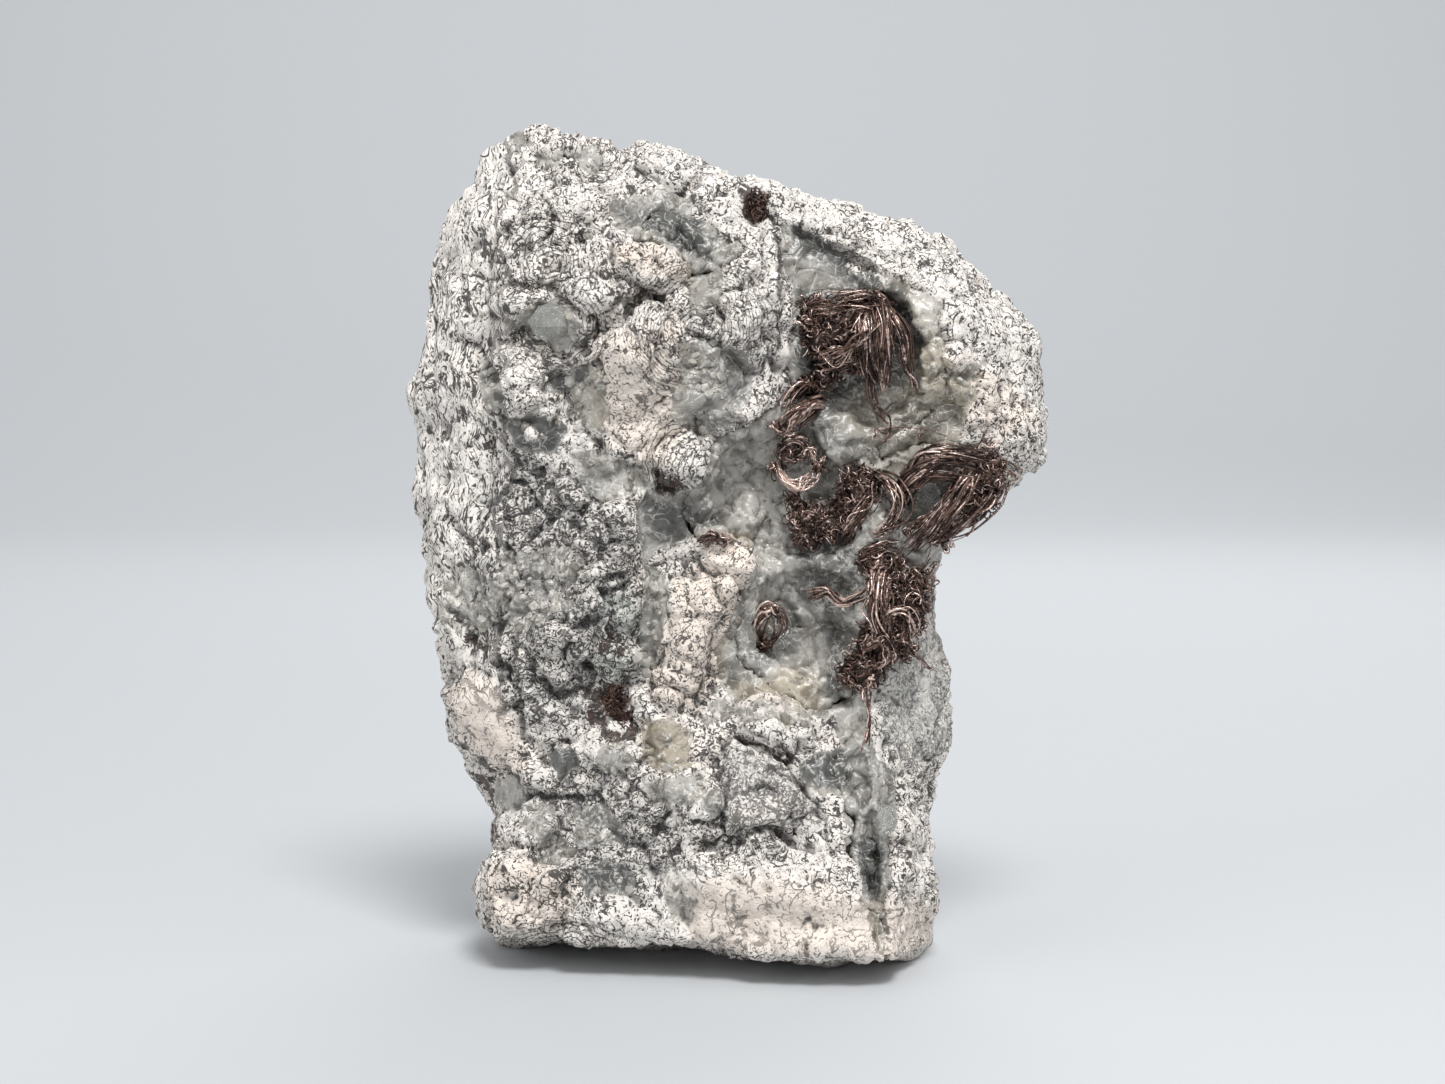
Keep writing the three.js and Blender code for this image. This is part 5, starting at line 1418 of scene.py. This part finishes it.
def makeSilver(node, look, seed):
    random = np.random.default_rng(seed)
    heap = Heap()
    for centre, half, strands, thick in look.get("mats", ()):
        addCore(heap, np.array(centre), np.array(half) * 0.78)
        addMat(heap, random, centre, half, strands, thick, look.get("rubbedAndGlinting", 1.0))
    for routes, strands, spread, thick, curl in look.get("fans", ()):
        addFan(heap, random, routes, strands, spread, thick, curl)
    for route, strands, spread, thick, *bright in look.get("bundles", ()):
        addBundle(heap, random, route, strands, spread, thick, *bright)
    name = "wire" + "".join(word.capitalize() for word in node.split("_")[1:])
    mesh = modified(heap.mesh(name), ("TRIANGULATE", {}))
    print(name + ":", len(mesh.polygons), "triangles")
    newPiece(name, mesh, silverFinish, node)


# clear crystals
crystals = {"nodes": ("clear_crystal_left", "clear_crystal_right", "clear_crystal_lower"),
            "bevel": 0.12}


def makeCrystal(node):
    bevel = {"width": crystals["bevel"] * millimetre, "segments": 2}
    mesh = modified(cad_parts[node].data.copy(), ("BEVEL", bevel), ("TRIANGULATE", {}))
    name = "crystal" + node.split("_")[-1].capitalize()
    newPiece(name, mesh, crystalFinish, node)


# small quartz grains that stand on the glassy parts
grains = {"count": 900, "size": (0.25, 0.75), "seed": 17}


def makeGrains(points, normals, fields):
    random = np.random.default_rng(grains["seed"])
    gold = (1 + 5 ** 0.5) / 2  # a grain starts as a ball of twenty triangles, about 1 in radius
    corners = np.array([(-1, gold, 0), (1, gold, 0), (-1, -gold, 0), (1, -gold, 0), (0, -1, gold),
                        (0, 1, gold), (0, -1, -gold), (0, 1, -gold), (gold, 0, -1), (gold, 0, 1),
                        (-gold, 0, -1), (-gold, 0, 1)]) / 1.9
    faces = [(0, 11, 5), (0, 5, 1), (0, 1, 7), (0, 7, 10), (0, 10, 11), (1, 5, 9), (5, 11, 4),
             (11, 10, 2), (10, 7, 6), (7, 1, 8), (3, 9, 4), (3, 4, 2), (3, 2, 6), (3, 6, 8),
             (3, 8, 9), (4, 9, 5), (2, 4, 11), (6, 2, 10), (8, 6, 7), (9, 8, 1)]
    likely = np.flatnonzero((fields["quartz"] > 0.35) & (fields["quartz"] < 0.97)
                            & (points[:, 2] > 3))
    heap = Heap()
    for pick in random.choice(likely, grains["count"], replace=False):
        size = random.uniform(*grains["size"]) * random.uniform((1, 0.6, 0.6), (1, 1, 1.3))
        turned, _ = np.linalg.qr(random.normal(size=(3, 3)))
        shape = corners * random.uniform(0.8, 1.15, (12, 1)) * size
        shape = shape @ turned + points[pick] - 0.1 * normals[pick]
        heap.add(shape, faces if np.linalg.det(turned) > 0 else [face[::-1] for face in faces],
                 smoke=random.uniform(0, 0.5), warm=random.uniform(0, 0.3), hollow=0.0,
                 facet=random.uniform(0, 1))
    newPiece("quartzGrains", heap.mesh("quartzGrains", smooth=False), crustFinish)


rockPoints, rockNormals, rockFields = makeRock()
for node, look in crusts.items():
    makeCrust(node, look)
for seed, (node, look) in enumerate(silver.items()):
    makeSilver(node, look, 500 + seed)
for node in crystals["nodes"]:
    makeCrystal(node)
makeGrains(rockPoints, rockNormals, rockFields)
print("pieces ready")

# floor, light and camera
studio = {
    "floor": (0.53, 0.55, 0.565),
    "floorCloud": (0.52, 0.54, 0.56),
    "floorReach": 4.0,  # metres
    "sky": (0.87, 0.87, 0.885),
    "skyStrength": 0.72,
    "sweepDepth": 0.7,  # metres behind the specimen where the floor starts to rise
    "sweepBend": 0.9,
    "aim": (0, 0, 0.045),  # the middle of the specimen, in metres
    # where each light stands and its width in metres, its power in watts, and another aim
    "key": ((0.1, -0.45, 0.7), 0.3, 5.6),
    "fill": ((-0.6, -0.5, 0.3), 0.5, 0.9),
    "rim": ((0.15, 0.5, 0.5), 0.5, 1.3),
    "wash": ((0.0, 0.5, 1.0), 0.8, 6.0, (0, 1.6, 0.5)),
}


def makeFloor():
    tree = Tree("paleFloor")
    place = tree.node("TexCoord", out="Object")
    tone = tree.node("TexNoise", {}, {"Vector": place, "Scale": 3.0}, out="Fac")
    colour = tree.blend(tone * 0.1, studio["floor"], studio["floorCloud"])
    reach, depth, bend = studio["floorReach"], studio["sweepDepth"], studio["sweepBend"]
    rounds = 24
    turns = [math.pi / 2 * step / rounds for step in range(rounds + 1)]
    profile = [(-reach, 0)] + [(depth + bend * math.sin(turn), bend * (1 - math.cos(turn)))
                               for turn in turns] + [(depth + bend, reach)]
    points = [(side, along, up) for along, up in profile for side in (-reach, reach)]
    faces = [(row, row + 1, row + 3, row + 2) for row in range(0, len(points) - 2, 2)]
    mesh = bpy.data.meshes.new("floor")
    mesh.from_pydata(points, [], faces)
    mesh.shade_smooth()
    floor = bpy.data.objects.new("floor", mesh)
    mesh.materials.append(tree.finish(colour, 0.65, **{"Specular IOR Level": 0.25}))
    specimen.objects.link(floor)


def makeLight(name):
    place, width, power, *aim = studio[name]
    data = bpy.data.lights.new(name, "AREA")
    data.shape = "DISK"
    data.size = width
    data.energy = power
    light = bpy.data.objects.new(name, data)
    light.location = place
    target = Vector(aim[0] if aim else studio["aim"])
    light.rotation_euler = (target - Vector(place)).to_track_quat("-Z", "Y").to_euler()
    specimen.objects.link(light)


makeFloor()
for name in ("key", "fill", "rim", "wash"):
    makeLight(name)
world = bpy.data.worlds.new("softSky")
world.use_nodes = True
sky = world.node_tree.nodes["Background"]
sky.inputs["Color"].default_value = (*studio["sky"], 1)
sky.inputs["Strength"].default_value = studio["skyStrength"]
bpy.context.scene.world = world
bpy.context.scene.view_settings.view_transform = "Standard"

lens = bpy.data.cameras.new("camera")
lens.sensor_width = 36.0
lens.lens = lens.sensor_width / 2 / math.tan(math.radians(view["fieldOfView"]) / 2)
lens.clip_start = 0.01
camera = bpy.data.objects.new("camera", lens)
camera.location = [value * millimetre for value in view["eye"]]
camera.rotation_euler = (math.radians(90 - view["pitch"]), 0, 0)
specimen.objects.link(camera)
bpy.context.scene.camera = camera
print("floor, light and camera ready")
